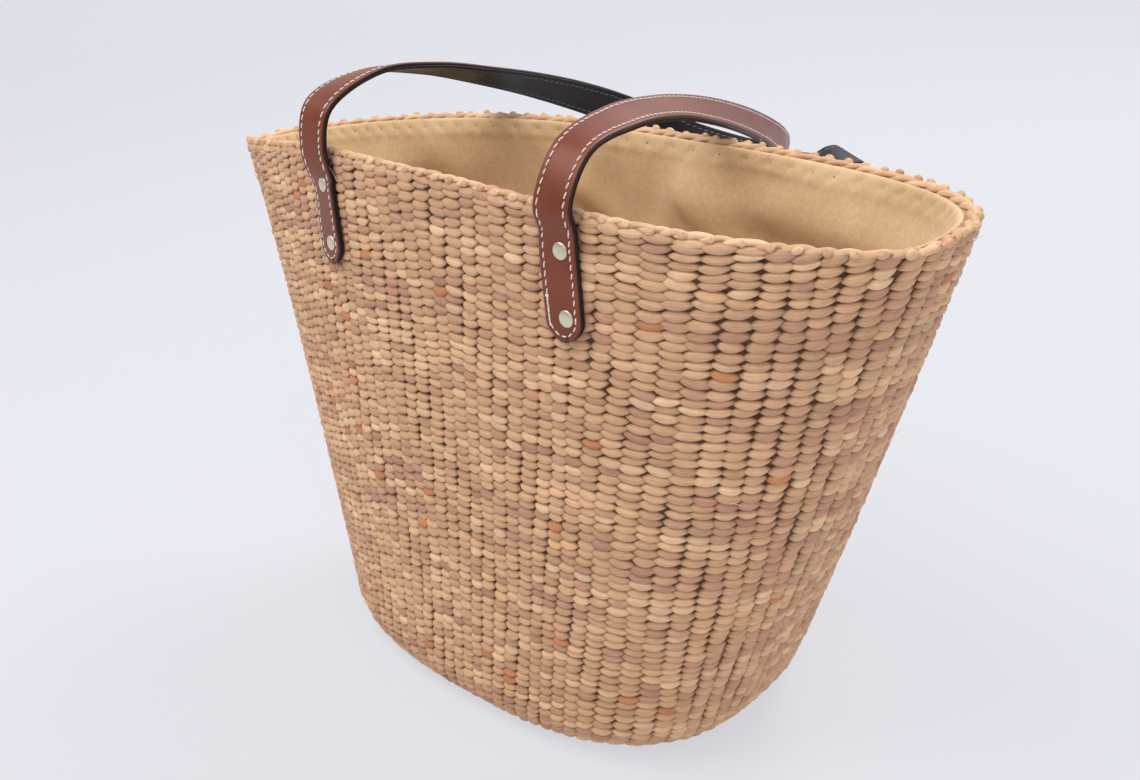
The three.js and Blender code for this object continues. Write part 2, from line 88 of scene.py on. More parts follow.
def wall_lines(level):
    # The outline of the wall at one level, as the lines that bound it.
    key = round(float(level), 6)
    if key in line_cache:
        return line_cache[key]
    half_width = BASE_HALF_WIDTH + (MOUTH_HALF_WIDTH - BASE_HALF_WIDTH) * level**0.92
    centre = -0.004 * level
    turn = 2 * np.pi * np.arange(240) / 240
    c = np.cos(turn)
    s = np.sin(turn)
    back = 0.5 + 0.5 * np.tanh(4 * s)
    left = 0.5 - 0.5 * np.tanh(4 * c)
    mouth_depth = MOUTH_FRONT_DEPTH + 0.011 * back
    half_depth = BASE_HALF_DEPTH + (mouth_depth - BASE_HALF_DEPTH) * level**0.64
    left_power = 1.42 + (1.96 - 1.42) * back
    mouth_power = 2.84 + (left_power - 2.84) * left
    power = 2.64 + (mouth_power - 2.64) * level
    u = np.sign(c) * np.abs(c) ** (2 / power)
    y = half_depth * np.sign(s) * np.abs(s) ** (2 / power) + 0.0052 * level * (1 - u * u)
    points = np.stack([centre + half_width * u, y], 1)
    edge = np.roll(points, -1, 0) - np.roll(points, 1, 0)
    normals = np.stack([edge[:, 1], -edge[:, 0]], 1)
    normals /= np.linalg.norm(normals, axis=1)[:, None]
    distance = (normals * points).sum(1)
    mean_depth = (MOUTH_FRONT_DEPTH + MOUTH_BACK_DEPTH) / 2
    depth = BASE_HALF_DEPTH + (mean_depth - BASE_HALF_DEPTH) * level**0.64
    line_cache[key] = (normals, distance, centre, half_width, depth)
    return line_cache[key]


def wall_ring(turn, level, inset):
    # Points of the wall at these turns round the bag, an inset inside its outer face.
    turn = np.atleast_1d(np.asarray(turn, float))
    normals, distance, centre, half_width, depth = wall_lines(level)
    angle = np.arctan2(depth * np.sin(turn), half_width * np.cos(turn))
    ray = np.stack([np.cos(angle), np.sin(angle)], 1)
    facing = ray @ normals.T
    reach = (distance - inset - normals[:, 0] * centre)[None, :] / np.where(facing > 1e-9, facing, 1)
    reach = np.where(facing > 1e-9, reach, np.inf).min(1)
    x = centre + reach * ray[:, 0]
    y = reach * ray[:, 1]
    u = reach * ray[:, 0] / half_width
    back = 0.5 + 0.5 * np.tanh(4 * y / depth)
    dip = hill(u, 0.44, 0.35)
    rim = (
        BAG_HEIGHT
        - 0.028 * np.minimum(u, 0) ** 2
        - 0.0085 * np.maximum(u, 0) ** 2
        - 0.011 * back * (1 - u * u)
        - 0.0043 * (1 - back) * dip
    )
    return np.stack([x, y, level * rim], 1)


def even_ring(level, inset, count):
    # Points at equal distances round the wall, and the length round.
    dense = wall_ring(2 * np.pi * np.arange(1441) / 1440, level, inset)
    dense[-1] = dense[0]
    length = np.concatenate([[0], np.cumsum(np.linalg.norm(np.diff(dense, axis=0), axis=1))])
    target = length[-1] * np.arange(count) / count
    ring = np.stack([np.interp(target, length, dense[:, k]) for k in range(3)], 1)
    return ring, length[-1]


TABLE_TURNS = STAKES * 8
TABLE_LEVELS = 161
round_length = BOTTOM_RADIUS * math.pi / 2
path_length = round_length + BAG_HEIGHT - BOTTOM_RADIUS
round_share = round_length / path_length
table_rings = []
table_girth = []
for share in np.linspace(0, 1, TABLE_LEVELS):
    if share < round_share:
        bend = math.pi / 2 * share / round_share
        ring_level = BOTTOM_RADIUS * (1 - math.cos(bend)) / BAG_HEIGHT
        ring_inset = BOTTOM_RADIUS * (1 - math.sin(bend))
    else:
        climb = (share - round_share) / (1 - round_share)
        ring_level = (BOTTOM_RADIUS + (BAG_HEIGHT - BOTTOM_RADIUS) * climb) / BAG_HEIGHT
        ring_inset = 0
    table_ring, girth = even_ring(ring_level, ring_inset, TABLE_TURNS)
    table_rings.append(table_ring)
    table_girth.append(girth)
table_points = np.array(table_rings)
along = np.roll(table_points, -1, 1) - np.roll(table_points, 1, 1)
upward = np.gradient(table_points, axis=0)
table_normals = np.cross(along, upward)
table_normals /= np.linalg.norm(table_normals, axis=2)[:, :, None]


def on_wall(around, up, out):
    # Shares round the bag and up the wall, and metres out from it, to points.
    a = np.mod(around, 1) * TABLE_TURNS
    b = np.clip(up, 0, 1) * (TABLE_LEVELS - 1)
    a0 = np.floor(a).astype(int)
    b0 = np.minimum(np.floor(b).astype(int), TABLE_LEVELS - 2)
    fa = (a - a0)[..., None]
    fb = (b - b0)[..., None]
    a0 %= TABLE_TURNS
    a1 = (a0 + 1) % TABLE_TURNS
    found = []
    for table in (table_points, table_normals):
        low = table[b0, a0] * (1 - fa) + table[b0, a1] * fa
        high = table[b0 + 1, a0] * (1 - fa) + table[b0 + 1, a1] * fa
        found.append(low * (1 - fb) + high * fb)
    return found[0] + found[1] * np.asarray(out)[..., None]


def make_piece(name, points, faces):
    mesh = bpy.data.meshes.new(name)
    faces = faces.tolist() if isinstance(faces, np.ndarray) else faces
    mesh.from_pydata(np.asarray(points).reshape(-1, 3).tolist(), [], faces)
    mesh.polygons.foreach_set("use_smooth", np.full(len(mesh.polygons), True))
    mesh.update()
    piece = bpy.data.objects.new(name, mesh)
    bpy.context.scene.collection.objects.link(piece)
    return piece


def select_only(piece):
    bpy.ops.object.select_all(action="DESELECT")
    bpy.context.view_layer.objects.active = piece
    piece.select_set(True)


def thicken(piece, thickness, offset):
    select_only(piece)
    solid = piece.modifiers.new("thickness", "SOLIDIFY")
    solid.thickness = thickness
    solid.offset = offset
    bpy.ops.object.modifier_apply(modifier=solid.name)
    piece.select_set(False)


def set_tint(piece, colours):
    attribute = piece.data.color_attributes.new("tint", "FLOAT_COLOR", "POINT")
    attribute.data.foreach_set("color", np.asarray(colours, np.float32).ravel())


def set_uv(piece, uv):
    corners = np.empty(len(piece.data.loops), int)
    piece.data.loops.foreach_get("vertex_index", corners)
    layer = piece.data.uv_layers.new(name="strand")
    layer.data.foreach_set("uv", np.asarray(uv, np.float32)[corners].ravel())


def grid_faces(rows, columns, wrap=False, close=False):
    # Wrap joins the last column to the first, and close the last row to the first.
    faces = []
    for r in range(rows if close else rows - 1):
        low = r * columns
        high = (r + 1) % rows * columns
        for c in range(columns if wrap else columns - 1):
            d = (c + 1) % columns
            faces.append((low + c, low + d, high + d, high + c))
    return faces


def repeat_faces(faces, count, size):
    # The faces of count copies of one small mesh of size points.
    return [tuple(v + copy * size for v in face) for copy in range(count) for face in faces]


def node_group(name, inputs, outputs):
    group = bpy.data.node_groups.new(name, "ShaderNodeTree")
    for label, kind, value in inputs:
        socket = group.interface.new_socket(label, in_out="INPUT", socket_type=kind)
        if value is not None:
            socket.default_value = value
    for label, kind in outputs:
        group.interface.new_socket(label, in_out="OUTPUT", socket_type=kind)
    return group, group.nodes.new("NodeGroupInput"), group.nodes.new("NodeGroupOutput")


def add_node(tree, kind, **settings):
    node = tree.nodes.new(kind)
    for key, value in settings.items():
        if key == "inputs":
            for label, given in value.items():
                node.inputs[label].default_value = given
        else:
            setattr(node, key, value)
    return node


def wire(tree, *links):
    # Each link is a node, its output, another node and its input.
    for source, output, target, entry in links:
        tree.links.new(source.outputs[output], target.inputs[entry])


def new_material(name):
    material = bpy.data.materials.new(name)
    material.use_nodes = True
    return material, material.node_tree, material.node_tree.nodes["Principled BSDF"]


def ramp(tree, stops):
    node = tree.nodes.new("ShaderNodeValToRGB")
    while len(node.color_ramp.elements) < len(stops):
        node.color_ramp.elements.new(1)
    for element, (position, colour) in zip(node.color_ramp.elements, stops):
        element.position = position
        element.color = (*colour, 1)
    return node


def remap(tree, source, output, low, high, to_low, to_high):
    node = add_node(tree, "ShaderNodeMapRange",
                    inputs={"From Min": low, "From Max": high, "To Min": to_low, "To Max": to_high})
    wire(tree, (source, output, node, "Value"))
    return node


def add_relief(tree, shader, source, output, strength, distance):
    relief = add_node(tree, "ShaderNodeBump", inputs={"Strength": strength, "Distance": distance})
    wire(tree, (source, output, relief, "Height"), (relief, 0, shader, "Normal"))


def mottled_material(name, scale, detail, dark, light, roughness=0.5, on_uv=False):
    # A colour that runs between two tones with the spots of one noise.
    material, tree, shader = new_material(name)
    if on_uv:
        place = add_node(tree, "ShaderNodeUVMap", uv_map="strand")
    else:
        place = add_node(tree, "ShaderNodeTexCoord")
    noise = add_node(tree, "ShaderNodeTexNoise", inputs={"Scale": scale, "Detail": detail})
    colour = ramp(tree, [(0.3, dark), (0.7, light)])
    wire(tree, (place, "UV" if on_uv else "Object", noise, "Vector"), (noise, "Fac", colour, 0),
         (colour, 0, shader, "Base Color"))
    shader.inputs["Roughness"].default_value = roughness
    return material, tree, shader, noise


# Fibres: fine lines along a strand, for the straw and its border.
fibres, fibres_in, fibres_out = node_group(
    "fibres",
    [("Vector", "NodeSocketVector", None), ("Along", "NodeSocketFloat", 60.0),
     ("Across", "NodeSocketFloat", 1400.0)],
    [("Lines", "NodeSocketFloat"), ("Blotches", "NodeSocketFloat")],
)
fibre_scale = add_node(fibres, "ShaderNodeCombineXYZ")
fibre_stretch = add_node(fibres, "ShaderNodeVectorMath", operation="MULTIPLY")
fibre_noise = add_node(fibres, "ShaderNodeTexNoise", inputs={"Scale": 1.0, "Detail": 3.0, "Roughness": 0.6})
blotch_noise = add_node(fibres, "ShaderNodeTexNoise", inputs={"Scale": 160.0, "Detail": 2.0})
wire(
    fibres,
    (fibres_in, "Along", fibre_scale, "X"), (fibres_in, "Across", fibre_scale, "Y"),
    (fibres_in, "Along", fibre_scale, "Z"), (fibres_in, "Vector", fibre_stretch, 0),
    (fibre_scale, 0, fibre_stretch, 1), (fibre_stretch, 0, fibre_noise, "Vector"),
    (fibres_in, "Vector", blotch_noise, "Vector"), (fibre_noise, "Fac", fibres_out, "Lines"),
    (blotch_noise, "Fac", fibres_out, "Blotches"),
)


def straw_material(name, stops, edge_shade):
    material, tree, shader = new_material(name)
    tint = add_node(tree, "ShaderNodeVertexColor", layer_name="tint")
    parts = add_node(tree, "ShaderNodeSeparateColor")
    hue = ramp(tree, stops)
    place = add_node(tree, "ShaderNodeUVMap", uv_map="strand")
    lines = add_node(tree, "ShaderNodeGroup", node_tree=fibres)
    # Strand colour, its own brightness and fine lines.
    light = remap(tree, parts, "Green", 0.0, 1.0, 0.80, 1.10)
    streak = remap(tree, lines, "Lines", 0.3, 0.7, 0.80, 1.12)
    blotch = remap(tree, lines, "Blotches", 0.3, 0.7, 0.92, 1.06)
    first = add_node(tree, "ShaderNodeMath", operation="MULTIPLY")
    second = add_node(tree, "ShaderNodeMath", operation="MULTIPLY")
    scaled = add_node(tree, "ShaderNodeVectorMath", operation="SCALE")
    # Painted shade: strands are darker and browner toward their edges, where they tuck under their
    # neighbours.
    shade_ramp = ramp(tree, [(0.0, (0, 0, 0)), (0.28, (0.62, 0.62, 0.62)), (0.62, (1, 1, 1))])
    blend = add_node(tree, "ShaderNodeMix", data_type="RGBA")
    blend.inputs["A"].default_value = (*edge_shade, 1)
    rough = remap(tree, lines, "Lines", 0.3, 0.7, 0.50, 0.66)
    wire(
        tree,
        (tint, "Color", parts, 0), (parts, "Red", hue, 0), (place, 0, lines, "Vector"),
        (light, 0, first, 0), (streak, 0, first, 1), (first, 0, second, 0), (blotch, 0, second, 1),
        (hue, 0, scaled, 0), (second, 0, scaled, "Scale"), (parts, "Blue", shade_ramp, 0),
        (shade_ramp, 0, blend, "Factor"), (scaled, 0, blend, "B"), (blend, "Result", shader, "Base Color"),
        (rough, 0, shader, "Roughness"),
    )
    shader.inputs["Specular IOR Level"].default_value = 0.35
    add_relief(tree, shader, lines, "Lines", 0.35, 0.0006)
    return material


straw_stops = [
    (0.0, (0.54, 0.275, 0.170)),
    (0.2, (0.58, 0.320, 0.195)),
    (0.4, (0.64, 0.380, 0.212)),
    (0.6, (0.67, 0.400, 0.220)),
    (0.85, (0.78, 0.520, 0.310)),
    (0.965, (0.68, 0.390, 0.190)),
    (1.0, (0.58, 0.240, 0.100)),
]
# The last colour is the painted shade at the pads' tucked edges.
straw = straw_material("woven straw", straw_stops, (0.20, 0.095, 0.045))

# One pad of strand, as it shows between two stakes: a small grid, pinched to its two ends.
bpy.ops.mesh.primitive_grid_add(x_subdivisions=8, y_subdivisions=5, size=2)
pad = bpy.context.object
pad_points = np.array([v.co[:2] for v in pad.data.vertices])
pad_faces = np.array([p.vertices[:] for p in pad.data.polygons])
bpy.data.objects.remove(pad)
pad_a = pad_points[:, 0]
pad_b = pad_points[:, 1]
pad_waist = np.where(pad_b < 0, 1 - np.abs(pad_a) ** 1.85, 1 - np.abs(pad_a) ** 2.2) + 0.03
pad_ridge = np.clip(1 - np.abs(pad_a) ** 2.4, 0, 1)
pad_dome = np.clip(1 - pad_b**2, 0, 1) ** 0.45
pad_lap = -0.0005 * pad_b * pad_ridge - 0.0004 * np.clip(pad_b - 0.4, 0, 1)


def lay_pads(name, around, up, half_width, half_height, tilt, thick, tint, seed, place=on_wall):
    # One mesh of many pads, each at its own place with its own size, tilt and tint, and painted shade
    # toward its edges.
    rng = np.random.default_rng(seed)
    count = len(around)
    girth = np.interp(np.clip(up, 0, 1), np.linspace(0, 1, TABLE_LEVELS), table_girth)
    dx = pad_a[None, :] * half_width[:, None]
    dy = (pad_b * pad_waist)[None, :] * half_height[:, None]
    bow = rng.normal(0, 0.0003, count)[:, None] * (1 - pad_a**2)[None, :]
    dy = dy + bow
    turned_x = dx * np.cos(tilt)[:, None] - dy * np.sin(tilt)[:, None]
    turned_y = dx * np.sin(tilt)[:, None] + dy * np.cos(tilt)[:, None]
    out = -0.0016 + thick[:, None] * (pad_ridge * pad_dome)[None, :] + pad_lap[None, :]
    out = out - 0.0003 * np.abs(pad_a)[None, :] ** 4
    pad_around = around[:, None] + turned_x / girth[:, None]
    points = place(pad_around, up[:, None] + turned_y / path_length, out)
    points[..., 2] = np.maximum(points[..., 2], 0.0)
    faces = (pad_faces[None, :, :] + (np.arange(count) * len(pad_a))[:, None, None]).reshape(-1, 4)
    piece = make_piece(name, points, faces)
    uv = np.stack([dx, dy], 2) + rng.uniform(0, 5, (count, 1, 2))
    set_uv(piece, uv.reshape(-1, 2))
    # Painted shade: the pad darkens toward its edges, where it tucks in, through the tint's blue channel.
    edge_shade = np.broadcast_to((pad_ridge * pad_dome)[None, :], dx.shape)
    colours = np.ones((count, len(pad_a), 4), np.float32)
    colours[..., 0] = tint[:, None, 0]
    colours[..., 1] = tint[:, None, 1]
    colours[..., 2] = edge_shade
    set_tint(piece, colours.reshape(-1, 4))
    return piece


def strand_tints(rng, rows, columns):
    # A strand keeps its colour over several stakes, and each pad adds its own.
    run = np.empty((rows, columns))
    for r in range(rows):
        c = 0
        while c < columns:
            length = rng.integers(3, 12)
            run[r, c : c + length] = rng.random()
            c += length
    own = rng.random((rows, columns))
    hue = np.clip(0.5 + 0.55 * (run - 0.5) + 0.5 * (own - 0.5), 0.01, 0.94)
    hue[rng.random((rows, columns)) < 0.014] = 1.0
    bright = np.clip(0.5 + 0.65 * (rng.random((rows, columns)) - 0.5) + 0.4 * (run - 0.5), 0, 1)
    return np.stack([hue, bright], 2)


weave_rng = np.random.default_rng(371)
rows = int(path_length / ROW_PITCH)
top_share = 1 - 0.0012 / path_length
# The strands are thicker, and so the stakes further apart, at the right of the front.
stake_width = 1 + 0.32 * hill(np.arange(STAKES), 0.893 * STAKES, 3.6)
stake_width *= weave_rng.normal(1, 0.05, STAKES)
stake_edge = np.concatenate([[0], np.cumsum(stake_width)]) / stake_width.sum()
stake_middle = (stake_edge[1:] + stake_edge[:-1]) / 2
stake_gap = np.diff(stake_edge) * STAKES
tints = strand_tints(weave_rng, rows, STAKES)
stake, row = np.meshgrid(np.arange(STAKES), np.arange(rows))
wander = 0.09 * np.sin(row * 0.21 + stake * 0.9) + 0.05 * np.sin(row * 0.53 + stake * 2.3)
around = stake_middle[stake] + (wander + weave_rng.normal(0, 0.03, stake.shape)) / STAKES
# Rows drift up and down a little, more alike on neighbouring stakes, and no two pads are as high.
drift = np.zeros((rows, STAKES))
wave = np.zeros((rows, STAKES))
for r in range(1, rows):
    shared = weave_rng.normal(0, 1, STAKES)
    for _ in range(5):
        shared = (np.roll(shared, 1) + shared + np.roll(shared, -1)) / 3
    wave[r] = 0.93 * wave[r - 1] + 0.18 * shared
    drift[r] = 0.78 * drift[r - 1] + weave_rng.normal(0, 0.05, STAKES)
sway = 0.14 * np.sin(stake * 0.31 + row * 0.12) + wave + drift
fade = np.clip(np.minimum(row, rows - 1 - row) / 4, 0, 1)
row_place = row + 0.5 * (stake % 2) + 0.25 + sway * fade
up = np.minimum(row_place / rows * top_share, 1 - 0.0044 / path_length)
girths = np.interp(up, np.linspace(0, 1, TABLE_LEVELS), table_girth)
spacing = girths / STAKES * stake_gap[stake]
half_width = spacing * weave_rng.normal(0.68, 0.03, stake.shape)
step = np.gradient(up, axis=0) * path_length
half_height = np.clip(step, 0.0036, 0.0062) * 0.665 * weave_rng.normal(1, 0.05, stake.shape)
# At the right end of the front the pads are narrower and lean over.
pad_place = stake_middle[stake]
slant_share = np.clip((pad_place - 0.885) / 0.06, 0, 1) * np.clip((1.02 - pad_place) / 0.04, 0, 1)
tilt = weave_rng.normal(0.02, 0.06, stake.shape) + 0.22 * slant_share
half_width *= 1 - 0.09 * slant_share
thick = np.clip(weave_rng.normal(0.0020, 0.00020, stake.shape), 0.0014, 0.0024)
quarter = STAKES // 4
for index, side in enumerate(("right_back", "left_back", "left_front", "right_front")):
    part = (stake // quarter) == index
    pads = lay_pads(
        f"weave_{side}", around[part], up[part], half_width[part], half_height[part],
        tilt[part], thick[part], tints[part], seed=index + 20,
    )
    pads.data.materials.append(straw)
    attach(pads, "bag")

CORE_ROWS = 44
CORE_COLUMNS = 208
core_around, core_up = np.meshgrid(
    np.arange(CORE_COLUMNS) / CORE_COLUMNS, np.linspace(0.0, 1 - 0.004 / path_length, CORE_ROWS)
)
core_points = on_wall(core_around, core_up, np.full(core_up.shape, -0.0021))
core = make_piece("weave_core", core_points, grid_faces(CORE_ROWS, CORE_COLUMNS, True))
thicken(core, 0.0027, -1)
# Painted shade: the core is coloured very dark brown so that the small gaps between pads read as shade.
core_material = mottled_material(
    "stakes behind the weave, in painted shade", 220.0, 3.0, (0.06, 0.024, 0.012), (0.15, 0.068, 0.034), 0.9
)[0]
core.data.materials.append(core_material)
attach(core, "bag")
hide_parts("woven_wall")

# Woven base mat
# The bag starts as this flat mat of the same strand, which it stands on. The wall's stakes are
# the mat's own strands, turned up round its edge.
MAT_PITCH = 0.0105
MAT_UNDER = 0.0011
MAT_TOP = 0.005
mat_rng = np.random.default_rng(52)
edge_ring = even_ring(0, BOTTOM_RADIUS, 240)[0]
mat_half = np.abs(edge_ring[:, :2]).max(0)
mat_columns = int(2 * mat_half[0] / MAT_PITCH)
mat_rows = int(2 * mat_half[1] / ROW_PITCH) + 1
mat_stake, mat_row = np.meshgrid(np.arange(mat_columns + 1), np.arange(mat_rows + 1))
mat_x = (mat_stake - mat_columns / 2) * MAT_PITCH
mat_y = (mat_row - mat_rows / 2 + 0.5 * (mat_stake % 2)) * ROW_PITCH
mat_turn = np.arctan2(mat_y, mat_x)
edge_turn = np.arctan2(edge_ring[:, 1], edge_ring[:, 0])
edge_order = np.argsort(edge_turn)
edge_reach = np.interp(
    mat_turn, edge_turn[edge_order], np.linalg.norm(edge_ring[:, :2], axis=1)[edge_order],
    period=2 * np.pi,
)
inside = np.hypot(mat_x, mat_y) < edge_reach + 0.001


def on_mat(x, y, out):
    return np.stack([x * table_girth[0], y * path_length, -np.asarray(out) + 0.0016], -1)


mat_tints = strand_tints(mat_rng, mat_rows + 1, mat_columns + 1)[inside]
mat_count = int(inside.sum())
mat_pads = lay_pads(
    "base_weave",
    mat_x[inside] / table_girth[0],
    mat_y[inside] / path_length,
    np.full(mat_count, MAT_PITCH * 0.67),
    ROW_PITCH * mat_rng.normal(0.60, 0.03, mat_count),
    mat_rng.normal(0, 0.04, mat_count),
    np.full(mat_count, 0.0018),
    mat_tints,
    place=on_mat,
    seed=77,
)
mat_pads.data.materials.append(straw)
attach(mat_pads, "bag")
mat_rim = even_ring(0, BOTTOM_RADIUS - 0.0015, 96)[0]
mat_rings = []
for share, height in (
    (0.0, MAT_UNDER), (0.5, MAT_UNDER), (1.0, MAT_UNDER),
    (1.0, MAT_TOP), (0.5, MAT_TOP), (0.0, MAT_TOP),
):
    ring = mat_rim * max(share, 0.002)
    ring[:, 2] = height
    mat_rings.append(ring)
# Painted shade: under the mat's pads, a backing in the same dark colour as the wall's core.
mat_back = make_piece("base_backing", np.array(mat_rings), grid_faces(6, 96, True))
mat_back.data.materials.append(core_material)
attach(mat_back, "bag")
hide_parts("woven_base")

# Rim
# The stakes end in a border: two flattened strands are twisted over them along the top edge, and
# each stake is cut off just outside the twist, which leaves a row of small round ends.
RIM_STRAND = 0.0019
rim_line, rim_girth = even_ring(1, 0.0042, STAKES * 8)
rim_line[:, 2] -= 0.0024
rim_along = np.roll(rim_line, -1, 0) - np.roll(rim_line, 1, 0)
rim_along /= np.linalg.norm(rim_along, axis=1)[:, None]
rim_out = np.stack([rim_along[:, 1], -rim_along[:, 0], np.zeros(len(rim_line))], 1)
rim_out /= np.linalg.norm(rim_out, axis=1)[:, None]
rim_up = np.cross(rim_out, rim_along)
rim_steps = len(rim_line)
rim_sides = 10
rim_rng = np.random.default_rng(11)
rim_hues = rim_rng.random((2, STAKES)) * 0.55 + 0.38
rim_lights = rim_rng.random((2, STAKES)) * 0.7 + 0.3
for strand in range(2):
    k = np.arange(rim_steps)
    uneven = 0.5 * np.sin(k * 2 * np.pi * 17 / rim_steps)
    uneven = uneven + 0.4 * np.sin(k * 2 * np.pi * 43 / rim_steps + 1)
    phase = 2 * np.pi * (k / 16) + np.pi * strand + uneven
    middle = rim_line + rim_out * (0.0013 * np.cos(phase))[:, None]
    middle = middle + rim_up * (0.0008 * np.sin(phase))[:, None]
    run = np.roll(middle, -1, 0) - np.roll(middle, 1, 0)
    run /= np.linalg.norm(run, axis=1)[:, None]
    side_a = np.cross(run, rim_up)
    side_a /= np.linalg.norm(side_a, axis=1)[:, None]
    side_b = np.cross(side_a, run)
    around_angle = 2 * np.pi * np.arange(rim_sides) / rim_sides
    swell = 1 + 0.16 * np.sin(phase) + 0.10 * np.sin(k * 0.37 + strand) + 0.06 * np.sin(k * 0.83)
    crease = 1 + 0.08 * np.cos(3 * around_angle[None, :] + 0.05 * k[:, None])
    radius = RIM_STRAND * swell[:, None] * crease
    ring_points = (
        middle[:, None, :]
        + side_a[:, None, :] * (radius * np.cos(around_angle))[..., None]
        + side_b[:, None, :] * (radius * 0.72 * np.sin(around_angle))[..., None]
    )
    cord = make_piece(
        f"rim_twist_{strand + 1}",
        ring_points,
        [
            (r * rim_sides + c, ((r + 1) % rim_steps) * rim_sides + c,
             ((r + 1) % rim_steps) * rim_sides + (c + 1) % rim_sides, r * rim_sides + (c + 1) % rim_sides)
            for r in range(rim_steps)
            for c in range(rim_sides)
        ],
    )
    segment = ((k / 16 + 0.5 * strand).astype(int)) % STAKES
    colours = np.ones((rim_steps, rim_sides, 4))
    colours[..., 0] = rim_hues[strand, segment][:, None]
    colours[..., 1] = rim_lights[strand, segment][:, None]
    # Painted shade: each strand is darker where it dips under the other, through the tint's blue channel.
    colours[..., 2] = np.clip(0.50 + 0.34 * np.sin(phase), 0, 1)[:, None] + 0.2
    set_tint(cord, np.clip(colours, 0, 1).reshape(-1, 4))
    run_uv = (k * rim_girth / rim_steps)[:, None]
    uv = np.stack(np.broadcast_arrays(run_uv, 0.004 * np.cos(around_angle)[None, :]), 2)
    set_uv(cord, uv.reshape(-1, 2))
    cord.data.materials.append(straw)
    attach(cord, "bag")
    if strand == 0:
        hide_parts("rim_braid")

# One stake end: a low rounded lump where the stake is bent over and cut, modelled once and repeated.
bpy.ops.mesh.primitive_uv_sphere_add(segments=14, ring_count=9, radius=1)
stub = bpy.context.object
stub_points = np.array([v.co[:] for v in stub.data.vertices])
stub_faces = [tuple(p.vertices) for p in stub.data.polygons]
bpy.data.objects.remove(stub)
stub_all = []
stub_tint = []
stub_uv = []
for i in range(STAKES):
    k = int(stake_middle[i] * rim_steps) % rim_steps
    turn_out = rim_out[k]
    turn_up = rim_up[k]
    turn_along = rim_along[k]
    size = rim_rng.normal(1.0, 0.10, 3)
    slant = rim_rng.normal(0.30, 0.15)
    long_way = turn_along * math.cos(slant) + turn_up * math.sin(slant)
    tall_way = np.cross(turn_out, long_way)
    spot = rim_line[k] + turn_out * rim_rng.normal(0.0026, 0.0003)
    spot = spot + turn_up * rim_rng.normal(0.0010, 0.0003)
    spot = spot + turn_along * rim_rng.normal(0, 0.0006)
    local = stub_points * (0.0026, 0.0018, 0.0019) * size
    dimple = np.exp(-((stub_points[:, 0] - 0.5) ** 2 + (stub_points[:, 2] - 0.5) ** 2) / 0.10)
    local = local * (1 - 0.28 * dimple[:, None])
    placed = spot + local[:, :1] * long_way + local[:, 1:2] * turn_out + local[:, 2:] * tall_way
    stub_all.append(placed)
    tone = np.ones((len(local), 4))
    tone[:, 0] = rim_rng.random() * 0.5 + 0.45
    tone[:, 1] = rim_rng.random() * 0.6 + 0.4
    # Painted shade: a dark spot in the dimple of each cut end, through the tint's blue channel.
    tone[:, 2] = np.clip(1 - 0.95 * dimple * (stub_points[:, 1] > -0.6), 0.05, 1)
    stub_tint.append(tone)
    stub_uv.append(np.stack([local[:, 0], local[:, 2] + i * 0.01], 1))
stubs = make_piece(
    "rim_stake_ends", np.concatenate(stub_all), repeat_faces(stub_faces, STAKES, len(stub_points))
)
set_tint(stubs, np.concatenate(stub_tint))
set_uv(stubs, np.concatenate(stub_uv))
stubs.data.materials.append(straw)
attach(stubs, "bag")
rim_core_rings = []
for out, height in ((0.0014, -0.0004), (-0.0038, -0.0004), (-0.0038, -0.0030), (0.0, -0.0042)):
    rim_core_rings.append(rim_line + rim_out * out + rim_up * height)
rim_core = make_piece("rim_core", np.array(rim_core_rings), grid_faces(4, rim_steps, True, True))
# Painted shade: the core under the twist is dimmed a little through the tint's blue channel.
set_tint(rim_core, np.tile((0.55, 0.35, 0.40, 1.0), (4 * rim_steps, 1)))
set_uv(rim_core, np.tile(np.stack([np.arange(rim_steps) * 0.001, np.zeros(rim_steps)], 1), (4, 1)))
rim_core.data.materials.append(straw)
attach(rim_core, "bag")

# Loose fibres
# Thin ends of dry leaf that stand off the weave here and there, most of them near the border.
# Each is one tapering curved strip that starts between two pads.
FIBRES = 46
fibre_rng = np.random.default_rng(64)
fibre_points = []
fibre_faces = []
for _ in range(FIBRES):
    around_place = fibre_rng.random()
    up_place = 1 - abs(fibre_rng.normal(0, 0.22)) % 0.9
    root = on_wall(np.array([around_place]), np.array([up_place - 0.006]), np.array([0.0]))[0]
    tip = on_wall(np.array([around_place + 0.002]), np.array([up_place]), np.array([0.001]))[0]
    off = on_wall(np.array([around_place]), np.array([up_place - 0.006]), np.array([0.001]))[0] - root
    off /= np.linalg.norm(off)
    rise = tip - root
    rise /= np.linalg.norm(rise)
    along_wall = np.cross(off, rise)
    heading = fibre_rng.uniform(-1.4, 1.4)
    way = rise * math.cos(heading) + along_wall * math.sin(heading)
    side_way = np.cross(off, way)
    length = fibre_rng.uniform(0.004, 0.0095)
    curl = fibre_rng.uniform(-0.5, 0.5)
    first = len(fibre_points)
    for k, t in enumerate(np.linspace(0, 1, 7)):
        centre = root + way * length * t + off * length * (0.10 + 0.30 * t * t)
        centre = centre + side_way * length * curl * t * t
        centre = np.array([centre[0], centre[1], max(centre[2], 0.001)])
        thin = 0.00024 * (1 - 0.75 * t)
        for across_way in (side_way, off, -side_way, -off):
            fibre_points.append(centre + across_way * thin)
        if k:
            base = first + 4 * (k - 1)
            for c in range(4):
                fibre_faces.append((base + c, base + (c + 1) % 4, base + 4 + (c + 1) % 4, base + 4 + c))
    fibre_faces.append((first + 3, first + 2, first + 1, first))
    fibre_faces.append(tuple(first + 24 + c for c in range(4)))
loose_fibres = make_piece("loose_fibres", fibre_points, fibre_faces)
fibre_tones = np.ones((len(fibre_points), 4))
fibre_tones[:, 0] = 0.85
fibre_tones[:, 1] = 1.0
set_tint(loose_fibres, fibre_tones)
set_uv(loose_fibres, np.array(fibre_points)[:, [0, 2]])
loose_fibres.data.materials.append(straw)
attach(loose_fibres, "bag")

